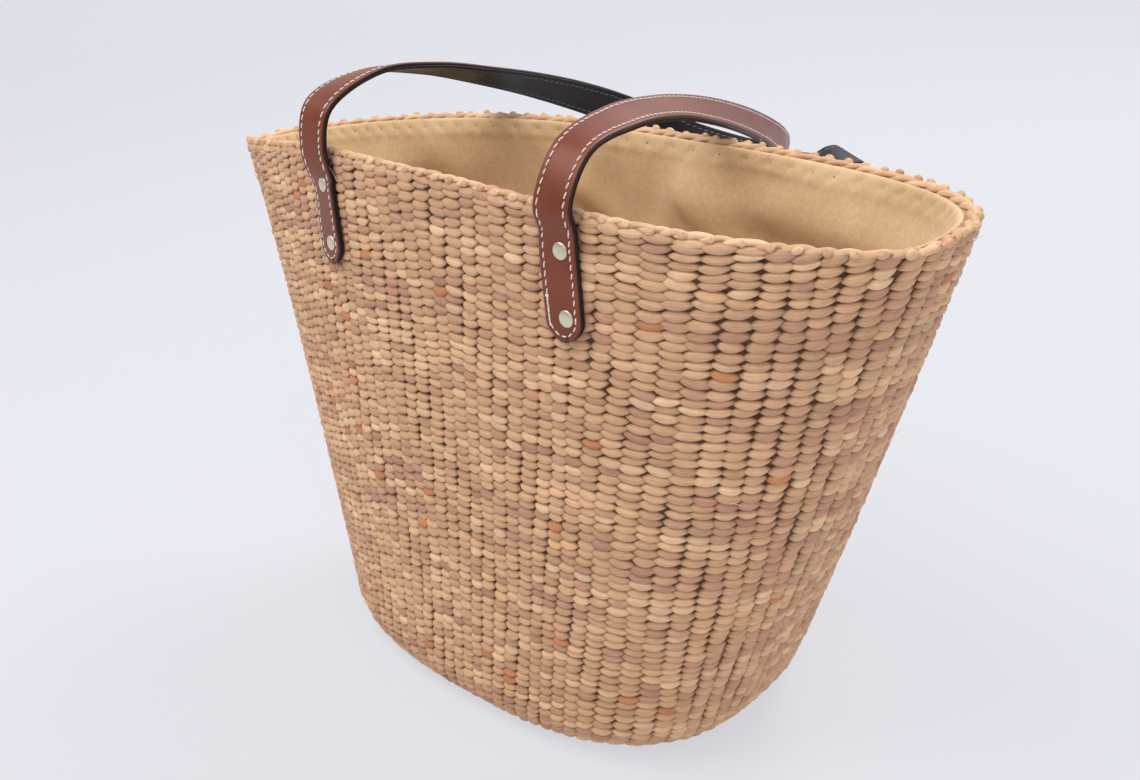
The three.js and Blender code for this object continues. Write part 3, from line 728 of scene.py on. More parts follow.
# Lining
# Plain cotton canvas, cut as a front, a back and a bottom panel and seamed at the two ends. Its
# folded hem is sewn to the weave just under the border, and the rest hangs in soft creases.
canvas, canvas_tree, canvas_shader = new_material("lining canvas")
canvas_place = add_node(canvas_tree, "ShaderNodeTexCoord")
canvas_uv = add_node(canvas_tree, "ShaderNodeUVMap", uv_map="strand")
canvas_group, canvas_in, canvas_out = node_group(
    "plain weave",
    [("Vector", "NodeSocketVector", None), ("Threads", "NodeSocketFloat", 5200.0)],
    [("Height", "NodeSocketFloat")],
)
weave_scaled = add_node(canvas_group, "ShaderNodeVectorMath", operation="SCALE")
weave_parts = add_node(canvas_group, "ShaderNodeSeparateXYZ")
wire(
    canvas_group,
    (canvas_in, "Vector", weave_scaled, 0), (canvas_in, "Threads", weave_scaled, "Scale"),
    (weave_scaled, 0, weave_parts, 0),
)
weave_waves = []
for axis in ("X", "Y"):
    wave = add_node(canvas_group, "ShaderNodeMath", operation="SINE")
    wire(canvas_group, (weave_parts, axis, wave, 0))
    weave_waves.append(wave)
weave_product = add_node(canvas_group, "ShaderNodeMath", operation="MULTIPLY")
weave_range = remap(canvas_group, weave_product, 0, -1.0, 1.0, 0.0, 1.0)
wire(
    canvas_group,
    (weave_waves[0], 0, weave_product, 0), (weave_waves[1], 0, weave_product, 1),
    (weave_range, 0, canvas_out, "Height"),
)
canvas_weave = add_node(canvas_tree, "ShaderNodeGroup", node_tree=canvas_group)
canvas_noise = add_node(canvas_tree, "ShaderNodeTexNoise", inputs={"Scale": 26.0, "Detail": 4.0})
canvas_slub = add_node(canvas_tree, "ShaderNodeTexNoise", inputs={"Scale": 420.0, "Detail": 3.0})
canvas_colour = ramp(canvas_tree, [(0.32, (0.62, 0.42, 0.225)), (0.68, (0.72, 0.51, 0.29))])
canvas_dark = remap(canvas_tree, canvas_slub, "Fac", 0.25, 0.75, 0.9, 1.06)
canvas_mixed = add_node(canvas_tree, "ShaderNodeVectorMath", operation="SCALE")
canvas_bump = add_node(canvas_tree, "ShaderNodeBump", inputs={"Strength": 0.14, "Distance": 0.0002})
canvas_bump_soft = add_node(canvas_tree, "ShaderNodeBump", inputs={"Strength": 0.25, "Distance": 0.0008})
wire(
    canvas_tree,
    (canvas_uv, 0, canvas_weave, "Vector"), (canvas_place, "Object", canvas_noise, "Vector"),
    (canvas_place, "Object", canvas_slub, "Vector"), (canvas_noise, "Fac", canvas_colour, 0),
    (canvas_colour, 0, canvas_mixed, 0), (canvas_dark, 0, canvas_mixed, "Scale"),
    (canvas_mixed, 0, canvas_shader, "Base Color"), (canvas_weave, "Height", canvas_bump, "Height"),
    (canvas_slub, "Fac", canvas_bump_soft, "Height"), (canvas_bump, 0, canvas_bump_soft, "Normal"),
    (canvas_bump_soft, 0, canvas_shader, "Normal"),
)
canvas_shader.inputs["Roughness"].default_value = 0.86
canvas_shader.inputs["Specular IOR Level"].default_value = 0.2
canvas_shader.inputs["Sheen Weight"].default_value = 0.12
canvas_shader.inputs["Sheen Roughness"].default_value = 0.5


LINING_FLOOR = 0.0056
LINING_INSET = 0.0101
HEM_STITCH_DROP = 0.0042
PANEL_COLUMNS = 301
hem_top = 1 - 0.0026 / BAG_HEIGHT
lining_levels = []
lining_insets = []
for i in range(7):
    bend = math.pi / 2 * i / 6
    lining_levels.append((BOTTOM_RADIUS - (BOTTOM_RADIUS - LINING_FLOOR) * math.cos(bend)) / BAG_HEIGHT)
    lining_insets.append(LINING_INSET + (BOTTOM_RADIUS - LINING_INSET) * (1 - math.sin(bend)))
for level in np.linspace(BOTTOM_RADIUS / BAG_HEIGHT, hem_top - 0.016 / BAG_HEIGHT, 46)[1:]:
    lining_levels.append(level)
    lining_insets.append(LINING_INSET)
for drop, inset in (
    (0.0140, 0.0101), (0.0120, 0.0100), (0.0100, 0.0100), (0.0085, 0.0101), (0.0070, 0.0101),
    (0.0055, 0.0100), (0.0042, 0.0100), (0.0030, 0.0098), (0.0018, 0.0095), (0.0008, 0.0091),
    (0.0001, 0.0085), (0.0, 0.0078), (0.0006, 0.0072),
):
    lining_levels.append(hem_top - drop / BAG_HEIGHT)
    lining_insets.append(inset)
lining_levels = np.array(lining_levels)
lining_insets = np.array(lining_insets)


def crease(x, z, phase):
    # Broad slanting folds, a few of them deep, as cotton hangs when it is only held at its hem.
    a = np.sin(38 * x + 21 * z + phase + 1.4 * np.sin(33 * z + 9 * x + phase))
    b = np.sin(64 * x - 46 * z + 2.1 * phase + 1.3 * np.sin(19 * z + 14 * x))
    c = np.sin(112 * x + 38 * z + 0.7 * phase + 1.6 * np.sin(35 * z - 21 * x))
    return 0.5 * (0.5 + 0.5 * a) ** 1.6 + 0.32 * (0.5 + 0.5 * b) ** 2 + 0.18 * (0.5 + 0.5 * c) ** 2


hem_spots = []
for side, panel_name, phase in ((-1, "front", 0.4), (1, "back", 2.2)):
    panel_turn = side * np.linspace(0.002, math.pi - 0.002, PANEL_COLUMNS)
    panel_rows = []
    for level, inset in zip(lining_levels, lining_insets):
        ring = wall_ring(panel_turn, level, inset)
        inner = wall_ring(panel_turn, level, inset + 0.001)
        inward = (inner - ring) / 0.001
        body = np.clip((level * BAG_HEIGHT - 0.014) / 0.05, 0, 1) * np.clip(
            (hem_top - level) * BAG_HEIGHT / 0.028, 0, 1
        ) ** 0.8
        seam = np.clip((math.pi / 2 - np.abs(np.abs(panel_turn) - math.pi / 2)) / 0.16, 0, 1)
        push = 0.0120 * body * seam * crease(ring[:, 0], ring[:, 2], phase)
        below = (hem_top - level) * BAG_HEIGHT
        across = ring[:, 0]
        if side > 0:
            # Three larger folds: one along the right, one down from the rim, one slanting at the left.
            lying = hill(below, 0.030, 0.012) * np.clip((across - 0.05) / 0.04, 0, 1)
            hanging = hill(across - 0.050 - 0.5 * below, 0, 0.013) * hill(below, 0.028, 0.020)
            slanting = hill(across + 0.070 - 1.1 * below, 0, 0.014) * hill(below, 0.036, 0.018)
            push = push * (1 - 0.5 * lying) + (0.0065 * lying + 0.0050 * hanging + 0.0055 * slanting) * seam
        stitch = hill(below, HEM_STITCH_DROP, 0.0022)
        girth_place = np.linspace(0, 1, PANEL_COLUMNS) * rim_girth / 2
        tied = np.cos(np.pi * girth_place / 0.0112 + phase + 0.5 * np.sin(31 * girth_place)) ** 8
        pucker = -0.0016 * stitch * tied + 0.0007 * hill(below, 0.0075, 0.0030) * (1 - tied)
        panel_rows.append(ring + inward * (push + pucker * seam)[:, None])
    panel_points = np.array(panel_rows)
    hem_row = int(np.argmin(np.abs((hem_top - lining_levels) * BAG_HEIGHT - HEM_STITCH_DROP)))
    for c in range(3, PANEL_COLUMNS - 3):
        if tied[c] > 0.5 and tied[c] >= tied[c - 1] and tied[c] > tied[c + 1]:
            hem_run = panel_points[hem_row, c + 1] - panel_points[hem_row, c - 1]
            hem_spots.append((panel_points[hem_row, c], hem_run))
    panel_faces = grid_faces(len(panel_rows), PANEL_COLUMNS)
    panel = make_piece(f"lining_{panel_name}_panel", panel_points, panel_faces)
    if side < 0:
        panel.data.flip_normals()
    climb = lining_levels * BAG_HEIGHT
    panel_uv = np.broadcast_arrays(girth_place[None, :], climb[:, None])
    set_uv(panel, np.stack(panel_uv, 2).reshape(-1, 2))
    thicken(panel, 0.0008, 0)
    panel.data.materials.append(canvas)
    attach(panel, "bag")
    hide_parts(f"lining_{panel_name}")
# Short hand stitches of brown thread hold the hem to the border, each in its own dimple.
hem_points = []
for spot, run in hem_spots:
    run = run / np.linalg.norm(run)
    outward = np.cross((0, 0, 1), run)
    hem_points.append(
        spot + stub_points[:, :1] * 0.0015 * run + stub_points[:, 1:2] * 0.0007 * outward
        + stub_points[:, 2:] * (0, 0, 0.0006)
    )
hem_stitches = make_piece(
    "lining_hem_stitches", np.concatenate(hem_points),
    repeat_faces(stub_faces, len(hem_points), len(stub_points)),
)
hem_thread = mottled_material(
    "brown hem thread", 900.0, 2.0, (0.20, 0.09, 0.04), (0.34, 0.17, 0.08), 0.8
)[0]
hem_stitches.data.materials.append(hem_thread)
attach(hem_stitches, "bag")
BOTTOM_ROWS = 19
BOTTOM_COLUMNS = 120
bottom_rings = []
for share in np.linspace(0, 1, BOTTOM_ROWS):
    ring = even_ring(LINING_FLOOR / BAG_HEIGHT, 0.0253, BOTTOM_COLUMNS)[0]
    ring[:, :2] *= max(share, 0.004)
    ring[:, 2] = LINING_FLOOR + 0.0011 * (1 - share**6) * crease(ring[:, 0], ring[:, 1], 1.0)
    bottom_rings.append(ring)
bottom_points = np.array(bottom_rings)
bottom_faces = grid_faces(BOTTOM_ROWS, BOTTOM_COLUMNS, True)
bottom_panel = make_piece("lining_bottom_panel", bottom_points, bottom_faces)
set_uv(bottom_panel, bottom_points.reshape(-1, 3)[:, :2])
thicken(bottom_panel, 0.0007, 0)
bottom_panel.data.materials.append(canvas)
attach(bottom_panel, "bag")
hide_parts("lining_bottom")

# Strap handles
# Each handle is one long leather strap with black painted edges, glued to a black backing of the
# same width and saddle-stitched along both edges and round the pointed ends, which are riveted to
# the wall. It twists on its way so that it folds over the mouth.
STRAP_HALF = 0.0102
TAB_HALF = 0.0106
TIP_LENGTH = 0.009
TAB_END = 0.0425
tip_shares = np.array([[0, 0.22], [0.14, 0.47], [0.46, 0.78], [0.78, 0.95], [1, 1]])
MID_PLANE = 0.00215
RIVET_PITCH = 0.031
UPPER_RIVET_DROP = 0.0175
CURVE_STEPS = 60
TAB_KNOTS = 5


def level_point(x, level, side):
    # The point of the wall at this x and level, on the front or back side.
    ring = wall_ring(side * np.linspace(0.03, math.pi - 0.03, 3000), level, 0)
    order = np.argsort(ring[:, 0])
    return np.array([np.interp(x, ring[order, 0], ring[order, k]) for k in range(3)])


def wall_at(x, z, side):
    # The point of the wall at this x and height.
    level = z / BAG_HEIGHT
    for _ in range(12):
        spot = level_point(x, level, side)
        level *= z / spot[2]
    return spot


def tab_frame(handle, end):
    # The two rivets of a tab and the directions up, out of the wall and across it.
    x = handle["centre"] + end * handle["spacing"] / 2
    side = handle["side"]
    upper = wall_at(x, level_point(x, 1, side)[2] - UPPER_RIVET_DROP, side)
    lean = math.radians(handle["lean"][end])
    lower = wall_at(x - RIVET_PITCH * math.sin(lean), upper[2] - RIVET_PITCH * math.cos(lean), side)
    up_dir = (upper - lower) / np.linalg.norm(upper - lower)
    left = wall_at(x - TAB_HALF, upper[2], side)
    right = wall_at(x + TAB_HALF, upper[2], side)
    out_dir = np.cross(right - left, up_dir) * -side
    out_dir /= np.linalg.norm(out_dir)
    width_dir = np.cross(up_dir, out_dir)
    return {"upper": upper, "lower": lower, "up": up_dir, "out": out_dir, "width": width_dir}


# Each row of a leg: its place across, back and up, its share of a quarter turn, its lean and cant.
front_rows = [
    (1, -0.24, 0.7, 0, 0.35, 0), (0.965, -0.052, 0.9, 0.14, 0.8, 0.7),
    (0.925, 0.131, 0.69, 0.27, 1, 0.4), (0.88, 0.3, 0.33, 0.38, 1, 0),
    (0.825, 0.47, -0.1, 0.5, 1, 0), (0.752, 0.643, -0.63, 0.65, 1.1, 0),
    (0.625, 0.812, -1.27, 0.83, 1.2, 0), (0.38, 0.944, -1.87, 0.97, 1.1, 0),
    (0, 1, -2.1, 1, 0.85, 0),
]
# How far the soft leather leaves the plain line of each leg, in mm, with a turn in radians.
front_sway = {
    -1: [
        (-1.2, -2.0, -1.9, -0.12), (-1.2, -2.0, -2.6, -0.16), (-0.5, -0.9, -2.7, -0.08),
        (-1.8, -1.8, -0.8, -0.10), (-1.5, -1.9, 0.7, -0.15), (-0.8, -1.0, 1.5, -0.16),
        (-0.3, -0.3, 1.5, -0.13), (0.2, 0.4, 1.7, -0.08), (0.5, 1.0, 2.2, -0.05),
        (0.6, 1.0, 1.8, -0.03), (0.3, 0.3, -0.1, 0.03),
    ],
    1: [
        (-1.0, -1.0, 0.2, -0.03), (-1.0, -1.4, -1.3, 0.02), (-0.2, -1.1, -3.0, 0.11),
        (0.4, -0.6, -3.0, 0.09), (0.3, -0.5, -2.4, -0.03), (-0.1, -0.7, -2.2, 0.0),
        (-0.5, -1.0, -2.2, 0.0), (-0.7, -1.2, -2.3, -0.04), (-0.6, -1.0, -1.9, -0.05),
        (-0.2, -0.4, -1.0, -0.01),
    ],
}
# The back handle folds outward at once on the left. On the right it rises a little over the rim.
back_left_rows = [
    (0.1140, 0.0836, 0.2736, 0), (0.1140, 0.0886, 0.2740, 0), (0.1140, 0.0936, 0.2700, 0),
    (0.1140, 0.0974, 0.2580, 0), (0.1138, 0.1004, 0.2380, 0.06), (0.1134, 0.1034, 0.2114, 0.25),
    (0.1112, 0.1060, 0.1609, 0.55), (0.1026, 0.1076, 0.1103, 0.82), (0.0821, 0.1086, 0.0690, 0.95),
    (0.0479, 0.1094, 0.0391, 1), (0, 0.1096, 0.0276, 1),
]
back_right_rows = [
    (0.1222, 0.0880, 0.2828, 0), (0.1258, 0.0952, 0.2838, 0), (0.1270, 0.1030, 0.2817, 0),
    (0.1254, 0.1088, 0.2690, 0), (0.1204, 0.1100, 0.2420, 0.06), (0.1158, 0.1085, 0.2114, 0.25),
    (0.1112, 0.1080, 0.1609, 0.55), (0.1026, 0.1082, 0.1103, 0.82), (0.0821, 0.1088, 0.0690, 0.95),
    (0.0479, 0.1094, 0.0391, 1), (0, 0.1096, 0.0276, 1),
]
back_rim = level_point(0.114, 1, 1)
straight_front = [
    (a * 0.0895, r * 0.213, 0.3 + h * 0.03, w, lean * -0.009, cant * 0.0028)
    for a, r, h, w, lean, cant in front_rows
]
front_handle = {
    "name": "front", "side": -1, "aside": -0.0024, "centre": -0.0043, "spacing": 0.179,
    "lean": {-1: -9.5, 1: -4.5}, "straight": {-1: 0.0209, 1: 0.0209}, "start": (0.0895, -0.069, 0.2957),
    "rows": {-1: straight_front, 1: straight_front}, "sway": front_sway,
}
back_handle = {
    "name": "back", "side": 1, "aside": 0, "centre": 0.0, "spacing": 0.228, "lean": {-1: 0, 1: 0},
    "straight": {-1: 0.0060, 1: 0.0100},
    "start": (0.114, back_rim[1] + MID_PLANE, back_rim[2] - 0.0068),
    "rows": {
        -1: [(x, y, z, w, 0, 0) for x, y, z, w in back_left_rows],
        1: [(x, y, z, w, 0, 0) for x, y, z, w in back_right_rows],
    },
    "sway": {
        -1: [(0, 0, 0, 0)] * 13,
        1: [(1.8, 0, -0.3, 0), (4.4, 0, -0.8, -0.04), (0, 0, 0, -0.12), (0, 0, 0, -0.27), (0, 0, 0, -0.36),
            (0, 0, 0, -0.30), (0, 0, 0, -0.15)] + [(0, 0, 0, 0)] * 5,
    },
}


def smooth_curve(points):
    # A centripetal curve through the points, with its ends carried on straight.
    points = np.asarray(points, float)
    padded = np.concatenate([[2 * points[0] - points[1]], points, [2 * points[-1] - points[-2]]])
    found = []
    for i in range(len(points) - 1):
        p0, p1, p2, p3 = padded[i : i + 4]
        d1 = np.linalg.norm(p2 - p1) ** 0.5
        d0 = np.linalg.norm(p1 - p0) ** 0.5
        d2 = np.linalg.norm(p3 - p2) ** 0.5
        d1 = d1 if d1 > 1e-4 else 1.0
        d0 = d0 if d0 > 1e-4 else d1
        d2 = d2 if d2 > 1e-4 else d1
        t1 = ((p1 - p0) / d0 - (p2 - p0) / (d0 + d1) + (p2 - p1) / d1) * d1
        t2 = ((p2 - p1) / d1 - (p3 - p1) / (d1 + d2) + (p3 - p2) / d2) * d1
        t = (np.arange(CURVE_STEPS) / CURVE_STEPS)[:, None]
        square = (-3 * p1 + 3 * p2 - 2 * t1 - t2) * t**2
        cube = (2 * p1 - 2 * p2 + t1 + t2) * t**3
        found.append(p1 + t1 * t + square + cube)
    return np.concatenate([*found, points[-1:]])


def width_directions(handle, rows, turns):
    # The direction of the strap's width at each row of a leg.
    found = []
    for i, row in enumerate(rows):
        before = handle["start"] if i == 0 else rows[i - 1]
        after = rows[min(i + 1, len(rows) - 1)]
        slope = np.array([after[1] - before[1], after[2] - before[2]])
        slope /= np.linalg.norm(slope)
        rise = np.array([0, -slope[1], slope[0]])
        path = np.array([before[0] - after[0], after[1] - before[1], after[2] - before[2]])
        flat = np.cross(path / np.linalg.norm(path), rise)
        flat /= np.linalg.norm(flat)
        angle = math.pi / 2 * row[3] + turns[i]
        found.append(flat * -handle["side"] * math.cos(angle) + rise * math.sin(angle))
    return found


def strap_route(handle):
    # The strap's middle line from tip to tip, with its width and face directions.
    points = []
    widths = []
    frames = {}
    for end in (-1, 1):
        tab = tab_frame(handle, end)
        frames[end] = tab
        leg_points = []
        leg_widths = []
        sway = np.array(handle["sway"][end]) * (0.001, 0.001, 0.001, 1)
        straight = handle["straight"][end]
        # Distance above the upper rivet, and lift off the wall, of the tab's five knots.
        lifts = (
            (-TAB_END, 0), (-RIVET_PITCH, 0), (0, 0), (min(0.0088, straight - 0.0025), 0),
            (straight, 0.0018),
        )
        for i, (distance, lift) in enumerate(lifts):
            spot = tab["upper"] + tab["up"] * distance + tab["out"] * (MID_PLANE + lift)
            spot = spot + tab["width"] * (handle["aside"] if i < 3 else 0)
            across = tab["width"] * -end
            if i > 2:
                spot = spot + sway[i - 3, :3]
                across = across * math.cos(sway[i - 3, 3]) + tab["out"] * math.sin(sway[i - 3, 3])
            leg_points.append(spot)
            leg_widths.append(across)
        rows = handle["rows"][end]
        turns = np.zeros(len(rows))
        turns[: len(sway) - 2] = sway[2:, 3][: len(rows)]
        half = width_directions(handle, rows, turns)
        for i, (row, width) in enumerate(zip(rows if end < 0 else rows[:-1], half)):
            spot = np.array([handle["centre"] + end * row[0] + row[4], row[1], row[2] - end * row[5]])
            leg_points.append(spot + sway[i + 2, :3])
            leg_widths.append(np.array([-end * width[0], width[1], width[2]]))
        if end > 0:
            leg_points.reverse()
            leg_widths.reverse()
        points += leg_points
        widths += leg_widths
    curve = smooth_curve(points)
    turned = smooth_curve(widths)
    length = np.concatenate([[0], np.cumsum(np.linalg.norm(np.diff(curve, axis=0), axis=1))])
    heading = np.gradient(curve, length, axis=0)
    heading /= np.linalg.norm(heading, axis=1)[:, None]
    turned -= heading * (turned * heading).sum(1)[:, None]
    turned /= np.linalg.norm(turned, axis=1)[:, None]
    face = np.cross(turned, heading)
    return {
        "length": length, "total": length[-1], "point": curve, "width": turned, "face": face,
        "flex": length[TAB_KNOTS * CURVE_STEPS], "frames": frames,
    }


def along_strap(route, distance, across, out):
    # Places along, across and out of a strap, to points.
    distance = np.asarray(distance, float)
    found = []
    for table in (route["point"], route["width"], route["face"]):
        found.append(np.stack([np.interp(distance, route["length"], table[:, k]) for k in range(3)], -1))
    return found[0] + found[1] * np.asarray(across)[..., None] + found[2] * np.asarray(out)[..., None]


def strap_half_width(route, distance):
    near = np.minimum(distance, route["total"] - distance)
    ease = np.clip((near - TAB_END) / (route["flex"] - TAB_END), 0, 1)
    half = TAB_HALF + (STRAP_HALF - TAB_HALF) * ease * ease * (3 - 2 * ease)
    tip = np.interp(np.maximum(near, 0) / TIP_LENGTH, tip_shares[:, 0], tip_shares[:, 1])
    return np.where(near < TIP_LENGTH, TAB_HALF * tip, half)


leather, leather_tree, leather_shader = new_material("reddish brown leather")
backing, backing_tree, backing_shader = new_material("black backing leather")
grain, grain_in, grain_out = node_group(
    "leather grain",
    [("Vector", "NodeSocketVector", None), ("Size", "NodeSocketFloat", 900.0)],
    [("Height", "NodeSocketFloat"), ("Clouds", "NodeSocketFloat")],
)
grain_cells = add_node(grain, "ShaderNodeTexVoronoi", feature="DISTANCE_TO_EDGE")
grain_fine = add_node(grain, "ShaderNodeTexNoise",
                      inputs={"Scale": 700.0, "Detail": 4.0, "Roughness": 0.6})
grain_clouds = add_node(grain, "ShaderNodeTexNoise",
                        inputs={"Scale": 45.0, "Detail": 4.0, "Roughness": 0.55})
grain_edge = remap(grain, grain_cells, "Distance", 0.0, 0.12, 0.0, 0.6)
grain_sum = add_node(grain, "ShaderNodeMath", operation="ADD")
grain_half = add_node(grain, "ShaderNodeMath", operation="MULTIPLY", inputs={1: 0.5})
for node in (grain_cells, grain_fine, grain_clouds):
    wire(grain, (grain_in, "Vector", node, "Vector"))
wire(
    grain,
    (grain_in, "Size", grain_cells, "Scale"), (grain_fine, "Fac", grain_half, 0),
    (grain_edge, 0, grain_sum, 0), (grain_half, 0, grain_sum, 1), (grain_sum, 0, grain_out, "Height"),
    (grain_clouds, "Fac", grain_out, "Clouds"),
)


def leather_nodes(tree, shader, dark, light, edge, rough, bump):
    place = add_node(tree, "ShaderNodeUVMap", uv_map="strand")
    marks = add_node(tree, "ShaderNodeGroup", node_tree=grain)
    tone = ramp(tree, [(0.3, dark), (0.72, light)])
    tint = add_node(tree, "ShaderNodeVertexColor", layer_name="tint")
    parts = add_node(tree, "ShaderNodeSeparateColor")
    wear = ramp(tree, [(0.25, (0, 0, 0)), (0.75, (1, 1, 1))])
    mix = add_node(tree, "ShaderNodeMix", data_type="RGBA")
    mix.inputs["B"].default_value = (*edge, 1)
    gloss = remap(tree, marks, "Clouds", 0.3, 0.7, rough - 0.06, rough + 0.08)
    wire(
        tree,
        (place, 0, marks, "Vector"), (marks, "Clouds", tone, 0), (tint, "Color", parts, 0),
        (parts, "Red", wear, 0), (wear, 0, mix, "Factor"), (tone, 0, mix, "A"),
        (mix, "Result", shader, "Base Color"), (gloss, 0, shader, "Roughness"),
    )
    add_relief(tree, shader, marks, "Height", bump, 0.0002)


leather_nodes(leather_tree, leather_shader, (0.150, 0.032, 0.0125), (0.205, 0.047, 0.020),
              (0.022, 0.010, 0.009), 0.35, 0.22)
leather_shader.inputs["Specular IOR Level"].default_value = 0.44
leather_shader.inputs["Specular Tint"].default_value = (1.0, 0.80, 0.70, 1)
leather_nodes(backing_tree, backing_shader, (0.010, 0.008, 0.010), (0.018, 0.014, 0.018),
              (0.010, 0.008, 0.010), 0.46, 0.18)
backing_shader.inputs["Specular IOR Level"].default_value = 0.26

thread, thread_tree, thread_shader = new_material("waxed white thread")
thread_place = add_node(thread_tree, "ShaderNodeUVMap", uv_map="strand")
thread_wave = add_node(thread_tree, "ShaderNodeTexWave", bands_direction="DIAGONAL",
                       inputs={"Scale": 420.0, "Distortion": 0.6})
thread_colour = ramp(thread_tree, [(0.0, (0.62, 0.57, 0.50)), (0.55, (0.86, 0.83, 0.77))])
add_relief(thread_tree, thread_shader, thread_wave, "Fac", 0.4, 0.0002)
wire(
    thread_tree,
    (thread_place, 0, thread_wave, "Vector"), (thread_wave, "Fac", thread_colour, 0),
    (thread_colour, 0, thread_shader, "Base Color"),
)
thread_shader.inputs["Roughness"].default_value = 0.62
dark_thread = mottled_material(
    "waxed dark thread", 900.0, 2.0, (0.10, 0.10, 0.115), (0.20, 0.19, 0.20), 0.6, on_uv=True
)[0]

# One stitch: a short thread pad, modelled once as a squashed round bar and repeated.
bpy.ops.mesh.primitive_cube_add(size=2)
dash = bpy.context.object
dash_round = dash.modifiers.new("round", "SUBSURF")
dash_round.levels = 2
bpy.ops.object.modifier_apply(modifier=dash_round.name)
dash_points = np.array([v.co[:] for v in dash.data.vertices])
dash_points /= np.abs(dash_points).max(0)
dash_points[:, 0] = np.sign(dash_points[:, 0]) * np.abs(dash_points[:, 0]) ** 0.75
dash_faces = np.array([tuple(p.vertices) for p in dash.data.polygons])
bpy.data.objects.remove(dash)

# Across a ply: place across as a share or an offset from its edge, place out, and edge paint.
face_section = [
    (1, 0.0000, 0.00015, 1), (1, -0.0001, 0.00070, 1), (1, 0.0000, 0.00125, 1),
    (1, 0.00025, 0.00168, 0.55), (1, 0.0007, 0.00192, 0.12), (1, 0.0013, 0.00200, 0),
    (1, 0.0021, 0.00202, 0), (1, 0.0026, 0.00184, 0.15), (1, 0.0031, 0.00202, 0),
    (1, 0.0048, 0.00205, 0), (0, 0.33, 0.00208, 0), (0, 0.0, 0.00209, 0),
]
back_section = [
    (1, 0.0000, -0.00012, 1), (1, 0.0000, -0.00080, 1), (1, 0.0002, -0.00118, 1),
    (1, 0.0007, -0.00136, 0.5), (1, 0.0020, -0.00140, 0), (1, 0.0026, -0.00126, 0.1),
    (1, 0.0032, -0.00140, 0), (0, 0.33, -0.00142, 0), (0, 0.0, -0.00142, 0),
]


def ply_ring(section, half):
    near = np.minimum(1, half / 0.0068)
    ring = []
    for kind, offset, out, paint in section:
        across = half - offset * near if kind else half * offset
        ring.append((across, out, paint))
    mirrored = [(-across, out, paint) for across, out, paint in reversed(ring[:-1])]
    return np.array(ring + mirrored)


def strap_ply(name, route, section, material):
    # One layer of leather along the whole strap, closed at both tips.
    ends = np.array([0.0, 0.0004, 0.0012, 0.0022, 0.0032, 0.0042, 0.0056, 0.007, 0.008, 0.009])
    inner = np.linspace(0.0105, route["total"] - 0.0105, 420)
    distances = np.concatenate([ends, inner, route["total"] - ends[::-1]])
    halves = strap_half_width(route, distances)
    rings = []
    paints = []
    uvs = []
    for distance, half in zip(distances, halves):
        ring = ply_ring(section, half)
        near = min(distance, route["total"] - distance)
        paint = np.maximum(ring[:, 2], np.clip(1.2 - near / 0.0006, 0, 1))
        rings.append(along_strap(route, np.full(len(ring), distance), ring[:, 0], ring[:, 1]))
        paints.append(paint)
        uvs.append(np.stack([np.full(len(ring), distance), ring[:, 0] + 0.05 * np.sign(ring[0, 1])], 1))
    count = len(rings[0])
    cap = [tuple(range(count)), tuple(reversed(range((len(rings) - 1) * count, len(rings) * count)))]
    piece = make_piece(name, np.concatenate(rings), grid_faces(len(rings), count, True) + cap)
    select_only(piece)
    bpy.ops.object.mode_set(mode="EDIT")
    bpy.ops.mesh.select_all(action="SELECT")
    bpy.ops.mesh.normals_make_consistent(inside=False)
    bpy.ops.object.mode_set(mode="OBJECT")
    piece.select_set(False)
    paint = np.ones((len(rings) * count, 4))
    paint[:, 0] = np.concatenate(paints)
    set_tint(piece, paint)
    set_uv(piece, np.concatenate(uvs))
    piece.data.materials.append(material)
    return piece


